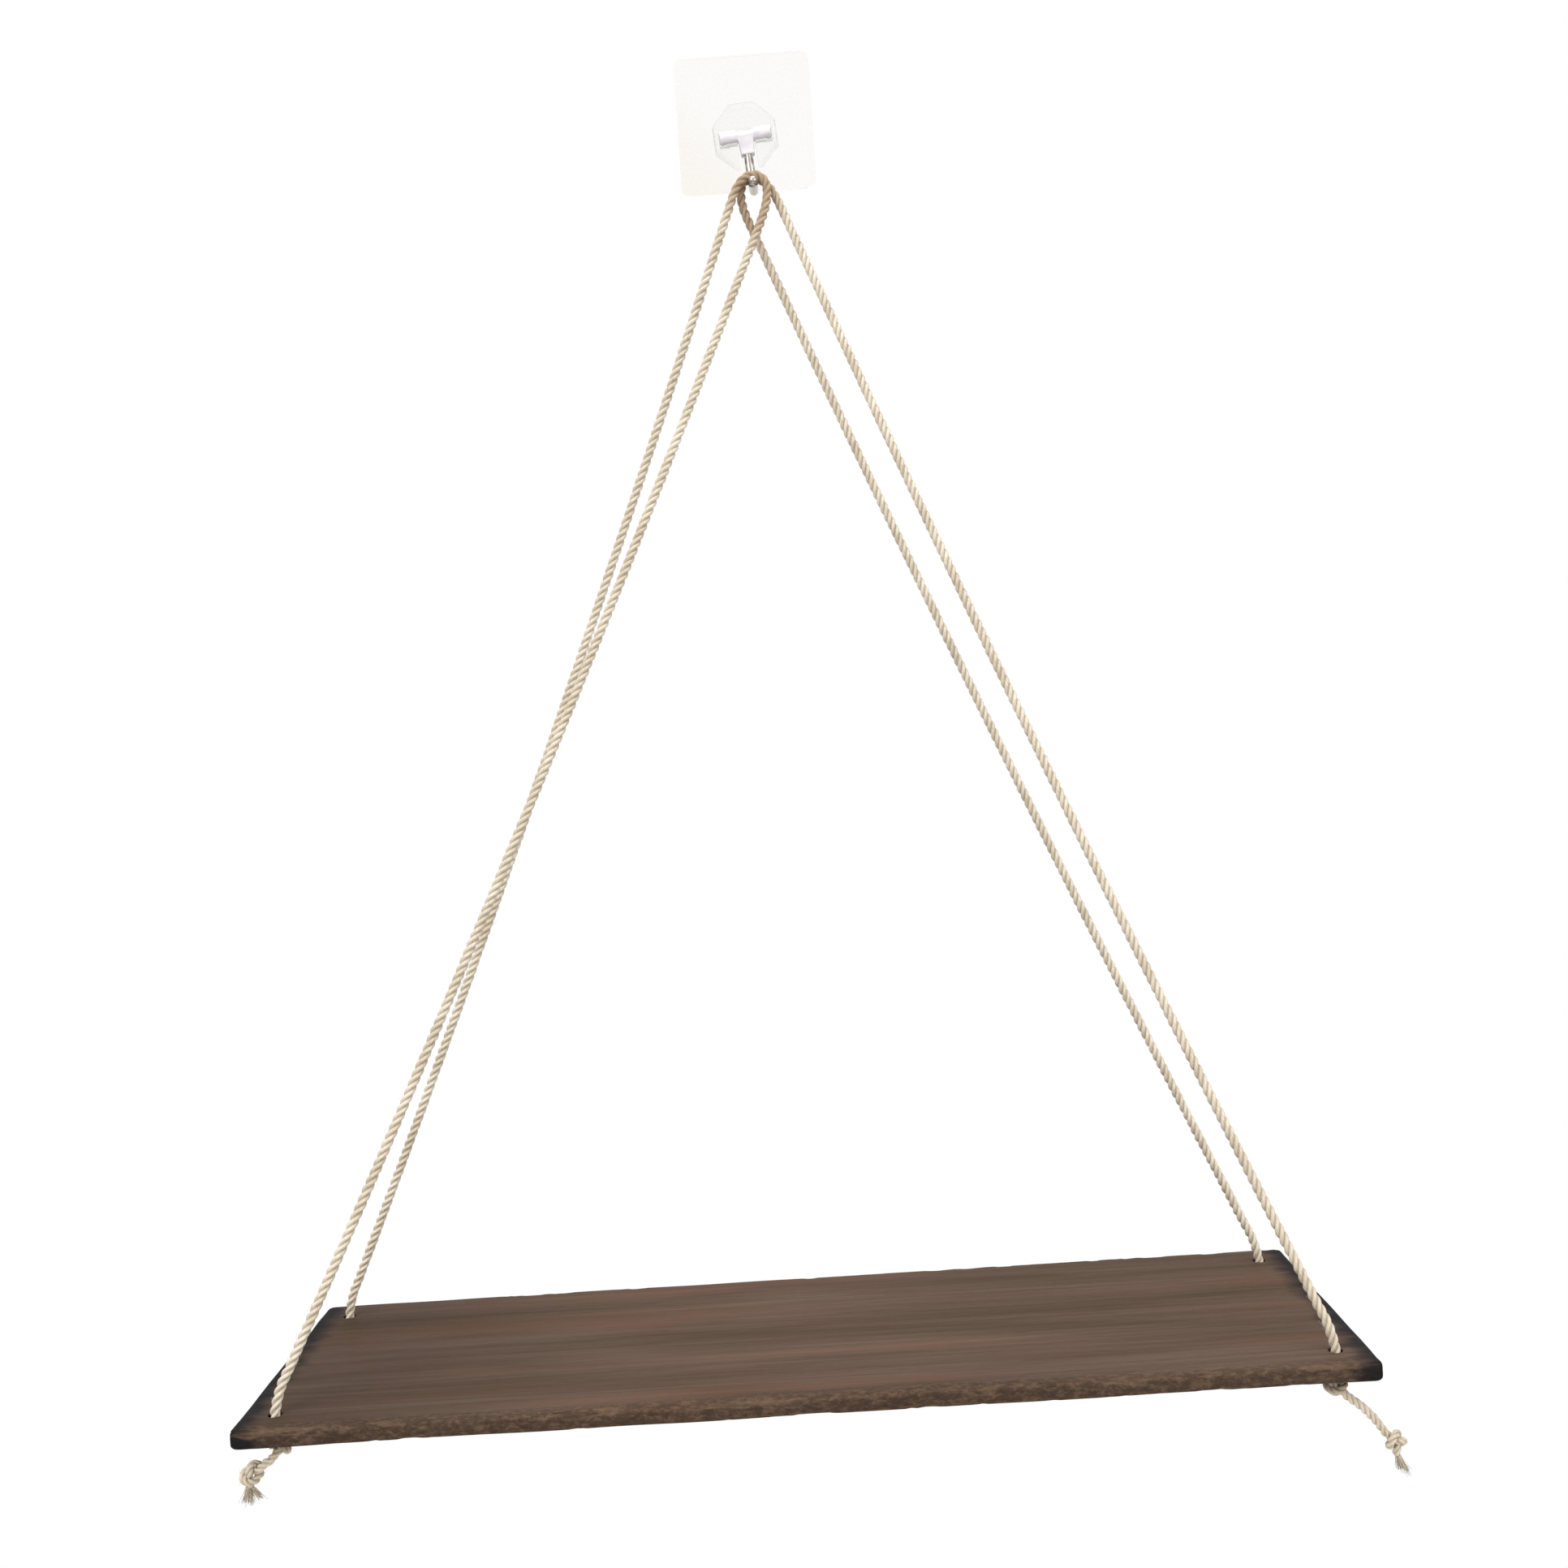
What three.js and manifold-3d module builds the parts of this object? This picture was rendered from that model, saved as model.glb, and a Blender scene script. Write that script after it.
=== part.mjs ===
// Hanging rope shelf: a stained plank slung by two loops of twine from a clear stick-on hook.
// Millimetres, +Z up. The origin is the middle of the adhesive's back face, on the wall
// plane y = 0. The room is towards -Y, and +X is to the right of someone facing the wall.
import * as THREE from "three";
import { mergeVertices } from "three/addons/utils/BufferGeometryUtils.js";
import Module from "manifold-3d";

const wasm = await Module();
wasm.setup();

// Gap between pieces that touch, and how far a cut runs past the face it leaves
const fitGap = 0.3;
const cutOverrun = 2;

// Clear film and the adhesive behind it
const filmSide = 60;
const filmCornerRadius = 4;
const filmThickness = 0.6;
const adhesiveThickness = 0.5;

// The boss, the swivel and the wire lean together, with the foot of the wire to the right
const hookLean = THREE.MathUtils.degToRad(5);

// Clear eight-sided boss moulded on the film, which traps the swivel
const bossDrop = 6;
const bossAcrossFlats = 28;
const bossShoulderAcrossFlats = 26;
const bossFrontAcrossFlats = 20;
const bossShoulderDepth = 6;
const bossDepth = 9;

// T-shaped swivel: a crossbar that turns in the boss, and the stem that holds the wire
const barDrop = 6.5;
const barDiameter = 5.4;
const barLength = 22;
const barBackClearance = 0.5;
const barEndClearance = 0.4;
const stemWidth = 7;
const stemEndWidth = 6;
const stemLength = 8.5;
const stemEdgeRadius = 0.5;
const slotSideClearance = 0.4;
const flipLimit = THREE.MathUtils.degToRad(60);

// Bent steel wire
const wireDiameter = 4;
const wireSocketDepth = 6;
const wireSocketClearance = 0.25;
const wireSeatDrop = 32.5;
const wireBackBendRadius = 7;
const wireTipBendRadius = 4;
const wireTipBend = THREE.MathUtils.degToRad(30);

// Twine, and how the two loops lie beside each other on the wire
const ropeDiameter = 4;
const ropeSideGap = 0.4;
const ropeBendGap = 0.2;
const legSag = 8;

// Plank, which hangs a little to the left of the hook
const boardLength = 430;
const boardDepth = 130;
const boardThickness = 7;
const boardCornerRadius = 3.5;
const boardArrisRadius = 1.6;
const boardTopDrop = 514;
const boardWallGap = 2;
const boardLeftShift = 8;
const holeDiameter = 4.8;
const holeEndInset = 13.5;
const holeEdgeInset = 14.5;
const holeRimEase = 0.4;

// Knots: the pitch is the distance between the middles of neighbouring turns
const stopperPitch = 2.6;
const stopperTwineDiameter = 2.3;
const tailDiameter = 3;
const endKnotPitch = 2.3;
const endKnotTwineDiameter = 2;

// Frayed ends below the end knots
const frayLength = 6;
const frayNeckDiameter = 2.2;
const frayFlareDiameter = 4.6;

// Facets round and along the pieces
const ropeSides = 8;
const ropeStepsPerPoint = 2;
const knotStepsPerPoint = 3;
const wireSides = 12;
const wireBackFacets = 10;
const wireTipFacets = 4;
const bossSides = 8;
const barSides = 24;
const holeSides = 20;
const cornerFacets = 5;
const arrisFacets = 3;

// Places worked out from the sizes above
const filmBackY = -adhesiveThickness;
const filmFrontY = filmBackY - filmThickness;
const barRadius = barDiameter / 2;
const barPocketRadius = barRadius + fitGap;
const pivotY = filmFrontY - barBackClearance - barRadius;
const pivotZ = -barDrop;
const wireRadius = wireDiameter / 2;
const wireReach = wireSeatDrop - barDrop;
const seatX = wireReach * Math.sin(hookLean);
const seatZ = pivotZ - wireReach * Math.cos(hookLean);
const troughBackY = pivotY - wireBackBendRadius;
const ropeRadius = ropeDiameter / 2;
const wrapRadius = wireRadius + ropeRadius + fitGap;
const backRopeY = troughBackY - ropeBendGap - ropeRadius;
const frontRopeY = backRopeY - ropeDiameter - ropeSideGap;
const troughFrontY = frontRopeY - ropeRadius - ropeBendGap;
const boardTopZ = -boardTopDrop;
const boardUnderZ = boardTopZ - boardThickness;
const boardMiddleX = -boardLeftShift;
const boardMiddleY = -boardWallGap - boardDepth / 2;
const holeReach = boardLength / 2 - holeEndInset;
const holeX = (side) => boardMiddleX + side * holeReach;
const backHoleY = -boardWallGap - holeEdgeInset;
const frontHoleY = -boardWallGap - boardDepth + holeEdgeInset;

// Colours and finishes
const finish = (color, roughness, metalness, opacity = 1) => new THREE.MeshStandardMaterial({
  color, roughness, metalness, opacity, transparent: opacity < 1,
});
const clearPlastic = () => finish(0xf4f4f2, 0.08, 0, 0.3);
const clearAdhesive = () => finish(0xf0f0ee, 0.3, 0, 0.35);
const greyPlastic = () => finish(0xd8d4da, 0.3, 0, 0.85);
const brightSteel = () => finish(0xb8b8b6, 0.2, 1);
const stainedPine = () => finish(0x64534a, 0.6, 0);
const twine = () => finish(0xd0bd9c, 0.95, 0);

const shelf = new THREE.Group();

function addPiece(name, geometry, material) {
  const mesh = new THREE.Mesh(geometry, material);
  mesh.name = name;
  shelf.add(mesh);
  return mesh;
}

// A closed geometry as a solid that can be joined and cut
function toSolid(geometry) {
  const bare = geometry.clone();
  bare.deleteAttribute("normal");
  bare.deleteAttribute("uv");
  const merged = mergeVertices(bare);
  return new wasm.Manifold(new wasm.Mesh({
    numProp: 3,
    vertProperties: new Float32Array(merged.attributes.position.array),
    triVerts: new Uint32Array(merged.index.array),
  }));
}

function toGeometry(solid) {
  const mesh = solid.getMesh();
  const geometry = new THREE.BufferGeometry();
  geometry.setAttribute("position", new THREE.BufferAttribute(mesh.vertProperties, mesh.numProp));
  geometry.setIndex(new THREE.BufferAttribute(mesh.triVerts, 1));
  geometry.computeVertexNormals();
  return geometry;
}

// A curve whose rings follow its own points, so they lie close where the points do
class RopeRun extends THREE.CatmullRomCurve3 {
  constructor(points) {
    super(points, false, "centripetal");
  }

  getUtoTmapping(u) {
    return u;
  }
}

// Part of a run, between two places counted in points of the whole, less a gap at either end
class RopeStretch extends THREE.Curve {
  constructor(run, first, last, gapAtFirst, gapAtLast) {
    super();
    this.run = run;
    const steps = run.points.length - 1;
    const pace = (at) => run.getPoint(at / steps).distanceTo(run.getPoint((at + 1) / steps));
    const trimFirst = gapAtFirst / pace(first);
    const trimLast = gapAtLast / pace(last - 1);
    this.start = (first + trimFirst) / steps;
    this.span = (last - trimLast) / steps - this.start;
  }

  getPoint(t, target = new THREE.Vector3()) {
    return this.run.getPoint(this.start + this.span * t, target);
  }

  getUtoTmapping(u) {
    return u;
  }
}

function ringShape(diameter, sides) {
  const points = [];
  for (let i = 0; i < sides; i += 1) {
    const turn = (i + 0.5) / sides * 2 * Math.PI;
    points.push(new THREE.Vector2(Math.cos(turn), Math.sin(turn)).multiplyScalar(diameter / 2));
  }
  return new THREE.Shape(points);
}

function tube(path, diameter, sides, steps) {
  return new THREE.ExtrudeGeometry(ringShape(diameter, sides), { extrudePath: path, steps });
}

// A flat plate with round corners, from z = 0 up, with an eased edge where edgeRadius is given
function roundedPlate(width, depth, thickness, cornerRadius, edgeRadius = 0) {
  const shape = new THREE.Shape();
  const right = width / 2 - cornerRadius;
  const top = depth / 2 - cornerRadius;
  shape.absarc(right, top, cornerRadius, 0, Math.PI / 2);
  shape.absarc(-right, top, cornerRadius, Math.PI / 2, Math.PI);
  shape.absarc(-right, -top, cornerRadius, Math.PI, Math.PI * 1.5);
  shape.absarc(right, -top, cornerRadius, Math.PI * 1.5, Math.PI * 2);
  const plate = new THREE.ExtrudeGeometry(shape, {
    depth: thickness - 2 * edgeRadius,
    curveSegments: cornerFacets,
    bevelEnabled: edgeRadius > 0,
    bevelThickness: edgeRadius,
    bevelSize: edgeRadius,
    bevelOffset: -edgeRadius,
    bevelSegments: arrisFacets,
  });
  return plate.translate(0, 0, edgeRadius);
}

// Stands a plate that was drawn on the floor against the wall, facing the room
const facingRoom = (geometry, backY) => geometry.rotateX(Math.PI / 2).translate(0, backY, 0);

// Turns a piece of the hook, drawn upright, about its pivot
function leanHook(geometry) {
  return geometry.translate(0, 0, -pivotZ).rotateY(-hookLean).translate(0, 0, pivotZ);
}

function makeFilm() {
  const adhesive = roundedPlate(filmSide, filmSide, adhesiveThickness, filmCornerRadius);
  addPiece("adhesive_layer", facingRoom(adhesive, 0), clearAdhesive());
  const film = roundedPlate(filmSide, filmSide, filmThickness, filmCornerRadius);
  addPiece("hook_film", facingRoom(film, filmBackY), clearPlastic());
}

// The boss is open behind, where the crossbar goes in before the film closes it, and a slot
// below lets the stem hang down and turn out as far as its limit
function makeBoss() {
  const cornerRadius = (acrossFlats) => acrossFlats / 2 / Math.cos(Math.PI / bossSides);
  const outline = [
    new THREE.Vector2(0, 0),
    new THREE.Vector2(cornerRadius(bossAcrossFlats), 0),
    new THREE.Vector2(cornerRadius(bossShoulderAcrossFlats), bossShoulderDepth),
    new THREE.Vector2(cornerRadius(bossFrontAcrossFlats), bossDepth),
    new THREE.Vector2(0, bossDepth),
  ];
  const block = new THREE.LatheGeometry(outline, bossSides, Math.PI / bossSides);
  block.rotateX(Math.PI).translate(0, filmFrontY, -bossDrop);

  const pocketLength = barLength + 2 * barEndClearance;
  const pocket = new THREE.CylinderGeometry(barPocketRadius, barPocketRadius, pocketLength, barSides);
  pocket.rotateZ(Math.PI / 2).translate(0, pivotY, pivotZ);
  const mouthDepth = cutOverrun - pivotY;
  const mouth = new THREE.BoxGeometry(pocketLength, mouthDepth, 2 * barPocketRadius);
  mouth.translate(0, pivotY + mouthDepth / 2, pivotZ);

  const reach = bossAcrossFlats;
  const stopAcross = new THREE.Vector2(-Math.cos(flipLimit), Math.sin(flipLimit));
  const stopAlong = new THREE.Vector2(-Math.sin(flipLimit), -Math.cos(flipLimit));
  const stopStart = stopAcross.clone().multiplyScalar(barPocketRadius);
  const stopEnd = stopStart.clone().addScaledVector(stopAlong, reach);
  const slotShape = new THREE.Shape([
    new THREE.Vector2(cutOverrun - pivotY, barPocketRadius),
    new THREE.Vector2(0, barPocketRadius),
    stopStart,
    stopEnd,
    new THREE.Vector2(stopEnd.x, -reach),
    new THREE.Vector2(cutOverrun - pivotY, -reach),
  ]);
  const slotWidth = stemWidth + 2 * slotSideClearance;
  const slot = new THREE.ExtrudeGeometry(slotShape, { depth: slotWidth, bevelEnabled: false });
  slot.translate(0, 0, -slotWidth / 2);
  const acrossAlongUp = new THREE.Matrix4().makeBasis(
    new THREE.Vector3(0, 1, 0), new THREE.Vector3(0, 0, 1), new THREE.Vector3(1, 0, 0),
  );
  slot.applyMatrix4(acrossAlongUp).translate(0, pivotY, pivotZ);

  const boss = toSolid(block).subtract(toSolid(pocket)).subtract(toSolid(mouth))
    .subtract(toSolid(slot));
  addPiece("hook_boss", leanHook(toGeometry(boss)), clearPlastic());
}

function makeSwivel() {
  const bar = new THREE.CylinderGeometry(barRadius, barRadius, barLength, barSides);
  bar.rotateZ(Math.PI / 2).translate(0, pivotY, pivotZ);

  const flatHalf = stemWidth / 2 - stemEdgeRadius;
  const endHalf = stemEndWidth / 2 - stemEdgeRadius;
  const stemShape = new THREE.Shape([
    new THREE.Vector2(-flatHalf, 0),
    new THREE.Vector2(-endHalf, -stemLength + stemEdgeRadius),
    new THREE.Vector2(endHalf, -stemLength + stemEdgeRadius),
    new THREE.Vector2(flatHalf, 0),
  ]);
  const stem = new THREE.ExtrudeGeometry(stemShape, {
    depth: barDiameter - 2 * stemEdgeRadius,
    bevelThickness: stemEdgeRadius,
    bevelSize: stemEdgeRadius,
    bevelSegments: arrisFacets,
  });
  stem.translate(0, 0, -barRadius + stemEdgeRadius).rotateX(Math.PI / 2);
  stem.translate(0, pivotY, pivotZ);

  const socketRadius = wireRadius + wireSocketClearance;
  const socketLength = wireSocketDepth + cutOverrun;
  const socket = new THREE.CylinderGeometry(socketRadius, socketRadius, socketLength, barSides);
  socket.rotateX(Math.PI / 2);
  socket.translate(0, pivotY, pivotZ - stemLength + wireSocketDepth - socketLength / 2);
  const swivel = toSolid(bar).add(toSolid(stem)).subtract(toSolid(socket));
  addPiece("hook_swivel", leanHook(toGeometry(swivel)), greyPlastic());
}

// Down out of the stem, forward into the seat that carries the ropes, and up at the tip
function makeWire() {
  const startZ = pivotZ - stemLength + wireSocketDepth - fitGap;
  const troughZ = -wireSeatDrop;
  const bendTopZ = troughZ + wireBackBendRadius;
  const at = (y, z) => new THREE.Vector3(0, y, z);
  const points = [at(pivotY, startZ), at(pivotY, (startZ + bendTopZ) / 2)];
  for (let i = 0; i <= wireBackFacets; i += 1) {
    const turn = i / wireBackFacets * Math.PI / 2;
    const y = troughBackY + wireBackBendRadius * Math.cos(turn);
    points.push(at(y, bendTopZ - wireBackBendRadius * Math.sin(turn)));
  }
  for (let i = 0; i <= wireTipFacets; i += 1) {
    const turn = i / wireTipFacets * wireTipBend;
    const y = troughFrontY - wireTipBendRadius * Math.sin(turn);
    points.push(at(y, troughZ + wireTipBendRadius * (1 - Math.cos(turn))));
  }
  const wire = tube(new RopeRun(points), wireDiameter, wireSides, points.length - 1);
  const tipEnd = points.at(-1);
  const cap = new THREE.SphereGeometry(wireRadius, wireSides, wireSides / 2);
  cap.rotateX(-wireTipBend).translate(tipEnd.x, tipEnd.y, tipEnd.z);
  const whole = toGeometry(toSolid(wire).add(toSolid(cap)));
  addPiece("steel_hook", leanHook(whole), brightSteel());
}

function makeBoard() {
  const plank = roundedPlate(
    boardLength, boardDepth, boardThickness, boardCornerRadius, boardArrisRadius,
  );
  plank.translate(boardMiddleX, boardMiddleY, boardUnderZ);
  let board = toSolid(plank);
  const holeRadius = holeDiameter / 2;
  const rimRadius = holeRadius + holeRimEase;
  const rimOutside = rimRadius + cutOverrun;
  const cut = new THREE.LatheGeometry([
    new THREE.Vector2(0, -cutOverrun),
    new THREE.Vector2(rimOutside, -cutOverrun),
    new THREE.Vector2(rimRadius, 0),
    new THREE.Vector2(holeRadius, holeRimEase),
    new THREE.Vector2(holeRadius, boardThickness - holeRimEase),
    new THREE.Vector2(rimRadius, boardThickness),
    new THREE.Vector2(rimOutside, boardThickness + cutOverrun),
    new THREE.Vector2(0, boardThickness + cutOverrun),
  ], holeSides);
  cut.rotateX(Math.PI / 2);
  for (const side of [-1, 1]) {
    for (const y of [frontHoleY, backHoleY]) {
      board = board.subtract(toSolid(cut.clone().translate(holeX(side), y, boardUnderZ)));
    }
  }
  addPiece("shelf_board", toGeometry(board), stainedPine());
}

// The middle of an overhand knot and the half that follows it: out to the side, along the
// rope's way, and across both, in pitches. The half before is the same turned half round.
const knotHalfShares = [
  [0.8, 0, 0], [0.6, -0.6, 0.9], [-0.2, -1.1, 1.2], [-1.05, -1.15, 0.75],
  [-1.4, -0.7, -0.2], [-0.85, 0.05, -0.6], [-0.2, 0.85, -0.1],
];
const knotCrownShare = 1.2;

// The twine comes into a knot along its way, and leaves it askew
const knotEntryShare = 1.8;
const knotExitShares = [[0.3, 1.3, 0], [0.85, 1.9, 0]];

function makeKnot(name, middle, along, out, pitch, diameter) {
  const across = new THREE.Vector3().crossVectors(out, along);
  const place = ([side, on, over]) => middle.clone()
    .addScaledVector(out, side * pitch)
    .addScaledVector(along, on * pitch)
    .addScaledVector(across, over * pitch);
  const entry = [0, -knotEntryShare, 0];
  const before = knotHalfShares.slice(1).reverse().map(([side, on, over]) => [side, -on, -over]);
  const shares = [entry, ...before, ...knotHalfShares, ...knotExitShares];
  const run = new RopeRun(shares.map(place));
  const steps = knotStepsPerPoint * (run.points.length - 1);
  addPiece(name, tube(run, diameter, ropeSides, steps), twine());
  return run;
}

// How far below the plank the middle of a stopper knot lies
const knotReach = knotCrownShare * stopperPitch + stopperTwineDiameter / 2;
const stopperDrop = fitGap + knotReach;

// Each tail's way from where it leaves its stopper knot: across, towards the wall, and up
const tailRoutes = {
  front_left: [[0, 0, 0], [-1, 0, -1], [-2.6, -0.2, -1.7], [-4, -0.3, -2.9]],
  front_right: [
    [0, 0, 0], [1.4, 0, -1.4], [6.1, -0.3, -5.2], [10.6, -0.5, -10.1], [14.7, -0.7, -15.9],
  ],
  back_left: [[0, 0, 0], [-0.8, 0, -1], [-1.7, 0.2, -3.4], [-2.2, 0.3, -7]],
  back_right: [[0, 0, 0], [0.9, 0, -1.1], [2, 0.2, -4], [2.6, 0.4, -8.4]],
};

// The way each frayed end points: across, towards the wall, and up
const frayWays = {
  front_left: [0.1, -0.05, -1],
  front_right: [0.45, 0, -0.9],
  back_left: [-0.1, 0.05, -1],
  back_right: [0.1, 0.1, -1],
};

function makeEnd(corner, side, y) {
  const down = new THREE.Vector3(0, 0, -1);
  const outward = new THREE.Vector3(side, 0, 0);
  const stopperMiddle = new THREE.Vector3(holeX(side), y, boardUnderZ - stopperDrop);
  const stopper = makeKnot(
    `${corner}_stopper_knot`, stopperMiddle, down, outward, stopperPitch, stopperTwineDiameter,
  );

  const start = stopper.points.at(-1).clone().addScaledVector(stopper.getTangent(1), fitGap);
  const points = tailRoutes[corner].map((offset) => new THREE.Vector3(...offset).add(start));
  const tail = new RopeRun(points);
  const steps = ropeStepsPerPoint * (points.length - 1);
  addPiece(`${corner}_tail`, tube(tail, tailDiameter, ropeSides, steps), twine());

  const along = tail.getTangent(1);
  const lowerSide = down.clone().addScaledVector(along, -down.dot(along)).normalize();
  const endLead = fitGap + knotEntryShare * endKnotPitch;
  const endMiddle = points.at(-1).clone().addScaledVector(along, endLead);
  const endKnot = makeKnot(
    `${corner}_end_knot`, endMiddle, along, lowerSide, endKnotPitch, endKnotTwineDiameter,
  );

  const fray = new THREE.LatheGeometry([
    new THREE.Vector2(0, 0),
    new THREE.Vector2(frayNeckDiameter / 2, 0),
    new THREE.Vector2(frayFlareDiameter / 2, frayLength),
    new THREE.Vector2(0, frayLength),
  ], ropeSides);
  const frayWay = new THREE.Vector3(...frayWays[corner]).normalize();
  fray.applyQuaternion(new THREE.Quaternion().setFromUnitVectors(
    new THREE.Vector3(0, 1, 0), frayWay,
  ));
  const exitWay = endKnot.getTangent(1);
  const tiltRoom = frayNeckDiameter / 2 * frayWay.clone().cross(exitWay).length();
  const frayStart = endKnot.points.at(-1).clone().addScaledVector(exitWay, fitGap + tiltRoom);
  fray.translate(frayStart.x, frayStart.y, frayStart.z);
  addPiece(`${corner}_frayed_end`, fray, twine());
}

// Places along a rope by the hook: down the leg that keeps to its own side, over the wire,
// and down the leg that crosses to the other side. Across and up from the middle of the wire,
// in shares of the radius at which the rope goes over it.
const hookWrapShares = [
  [-2.53, -1.98], [-2.09, -0.93], [-1.57, 0], [-0.87, 0.73], [0, 1.02], [0.77, 0.77],
  [1.23, 0.12], [1.33, -0.82], [1.19, -1.86], [0.84, -3.02], [0.38, -4.18],
];

// Heights of a leg's lowest places: in and above its hole, and along its straight run
const legEndZ = boardUnderZ - stopperDrop + knotEntryShare * stopperPitch + fitGap;
const legHoleZs = [legEndZ, (legEndZ + boardTopZ) / 2, boardTopZ + fitGap];
const legBendShare = 1.2;
const legBendHeight = legBendShare * ropeDiameter;
const legRunShares = [0.012, 0.03, 0.2, 0.4, 0.6, 0.8, 0.97];

const ropes = [
  {
    name: "left_rope", side: -1, y: frontRopeY,
    own: { name: "back_leg", holeY: backHoleY },
    cross: { name: "front_leg", holeY: frontHoleY },
  },
  {
    name: "right_rope", side: 1, y: backRopeY,
    own: { name: "front_leg", holeY: frontHoleY },
    cross: { name: "back_leg", holeY: backHoleY },
  },
];

function makeRope({ name, side, y, own, cross }) {
  const bendZ = boardTopZ + legBendHeight;
  const drop = seatZ - bendZ;
  const hookPlace = ([across, up], leg) => {
    const z = seatZ + up * wrapRadius;
    const lean = Math.max(0, (seatZ - z) / drop);
    return new THREE.Vector3(
      seatX - side * across * wrapRadius, y + (leg.holeY - y) * lean, z,
    );
  };
  const legPlaces = (leg, top) => {
    const foot = new THREE.Vector3(holeX(side), leg.holeY, bendZ);
    const inHole = legHoleZs.map((z) => new THREE.Vector3(foot.x, foot.y, z));
    const onRun = legRunShares.map((share) => {
      const place = foot.clone().lerp(top, share);
      place.z -= 4 * share * (1 - share) * legSag;
      return place;
    });
    return [...inHole, ...onRun];
  };
  const topIndex = hookWrapShares.findIndex(([across]) => across === 0);
  const wrap = hookWrapShares.map((pair, i) => hookPlace(pair, i < topIndex ? own : cross));
  const ownLeg = legPlaces(own, wrap[0]);
  const crossLeg = legPlaces(cross, wrap.at(-1));
  const whole = new RopeRun([...ownLeg, ...wrap, ...crossLeg.reverse()]);

  const wrapFirst = ownLeg.length;
  const wrapLast = whole.points.length - crossLeg.length - 1;
  const bightLast = wrapLast - 1;
  const stretches = [
    [`${name}_${own.name}`, 0, wrapFirst, 0, fitGap],
    [`${name}_bight`, wrapFirst, bightLast, 0, fitGap],
    [`${name}_${cross.name}`, bightLast, whole.points.length - 1, 0, 0],
  ];
  for (const [piece, first, last, gapAtFirst, gapAtLast] of stretches) {
    const path = new RopeStretch(whole, first, last, gapAtFirst, gapAtLast);
    const steps = ropeStepsPerPoint * (last - first);
    addPiece(piece, tube(path, ropeDiameter, ropeSides, steps), twine());
  }
}

makeFilm();
makeBoss();
makeSwivel();
makeWire();
makeBoard();
ropes.forEach(makeRope);
for (const [corner, side, y] of [
  ["front_left", -1, frontHoleY],
  ["front_right", 1, frontHoleY],
  ["back_left", -1, backHoleY],
  ["back_right", 1, backHoleY],
]) {
  makeEnd(corner, side, y);
}

export default shelf;
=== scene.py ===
# %% [markdown]
# # A hanging rope shelf
# A stained plank hangs on two lengths of natural twine from a clear stick-on hook. The plank,
# the hook and the places where the twine is held are already built at their real size as a
# frame. Here each piece gets its real surface: laid twine with its three strands, knots,
# frayed ends, worn wood, clear plastic and drawn steel.

# %% The frame
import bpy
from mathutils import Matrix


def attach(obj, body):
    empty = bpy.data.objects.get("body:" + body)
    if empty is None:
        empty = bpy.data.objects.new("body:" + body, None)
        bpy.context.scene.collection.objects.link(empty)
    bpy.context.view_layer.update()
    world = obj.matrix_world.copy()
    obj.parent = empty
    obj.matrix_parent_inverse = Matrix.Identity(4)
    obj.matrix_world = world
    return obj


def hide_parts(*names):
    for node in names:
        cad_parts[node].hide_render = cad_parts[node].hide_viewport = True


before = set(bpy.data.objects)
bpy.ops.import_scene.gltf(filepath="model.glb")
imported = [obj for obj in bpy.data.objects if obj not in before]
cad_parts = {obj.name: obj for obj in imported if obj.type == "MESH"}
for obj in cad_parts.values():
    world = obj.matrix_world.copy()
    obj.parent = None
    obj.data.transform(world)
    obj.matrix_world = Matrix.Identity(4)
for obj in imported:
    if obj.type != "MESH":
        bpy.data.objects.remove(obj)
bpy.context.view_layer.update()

# %% Modules and units
import math
import random
import bpy
import numpy as np
from mathutils import Matrix, Vector, noise

mm = 0.001

# %% [markdown]
# ## Helpers for materials
# Colours are given as sRGB hex values, but shaders add up light, so they are turned to
# linear values first. Every other helper adds nodes through one small function, with their
# settings and links. Patterns are sized by what one blotch or streak measures on the object.

# %% Colour and node helpers
def colour(code):
    """The linear red, green, blue and alpha of an sRGB hex code."""
    parts = [int(code[i:i + 2], 16) / 255 for i in (0, 2, 4)]
    lit = [p / 12.92 if p <= 0.04045 else ((p + 0.055) / 1.055) ** 2.4 for p in parts]
    return (*lit, 1.0)


def add_node(tree, kind, given=(), **settings):
    """A new node: its own settings, and inputs given as values or as other nodes' sockets."""
    made = tree.nodes.new(kind)
    for name, value in settings.items():
        setattr(made, name, value)
    for socket, value in dict(given).items():
        if isinstance(value, bpy.types.NodeSocket):
            tree.links.new(value, made.inputs[socket])
        else:
            made.inputs[socket].default_value = value
    return made


def new_material(name, values):
    """A material with one Principled shader, and its node tree and shader."""
    made = bpy.data.materials.new(name)
    made.use_nodes = True
    tree = made.node_tree
    tree.nodes.clear()
    shader = add_node(tree, "ShaderNodeBsdfPrincipled", values)
    add_node(tree, "ShaderNodeOutputMaterial", {"Surface": shader.outputs["BSDF"]})
    return made, tree, shader


def ramp(tree, source, stops):
    """A colour ramp over a 0 to 1 value, from (place, hex code) stops."""
    made = add_node(tree, "ShaderNodeValToRGB", {"Fac": source})
    elements = made.color_ramp.elements
    for place, code in stops[2:]:
        elements.new(place)
    for element, (place, code) in zip(elements, stops):
        element.position = place
        element.color = colour(code)
    return made.outputs["Color"]


def maths(tree, operation, *given):
    """The result of a Math node on values or sockets."""
    return add_node(tree, "ShaderNodeMath", enumerate(given), operation=operation).outputs["Value"]


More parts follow.
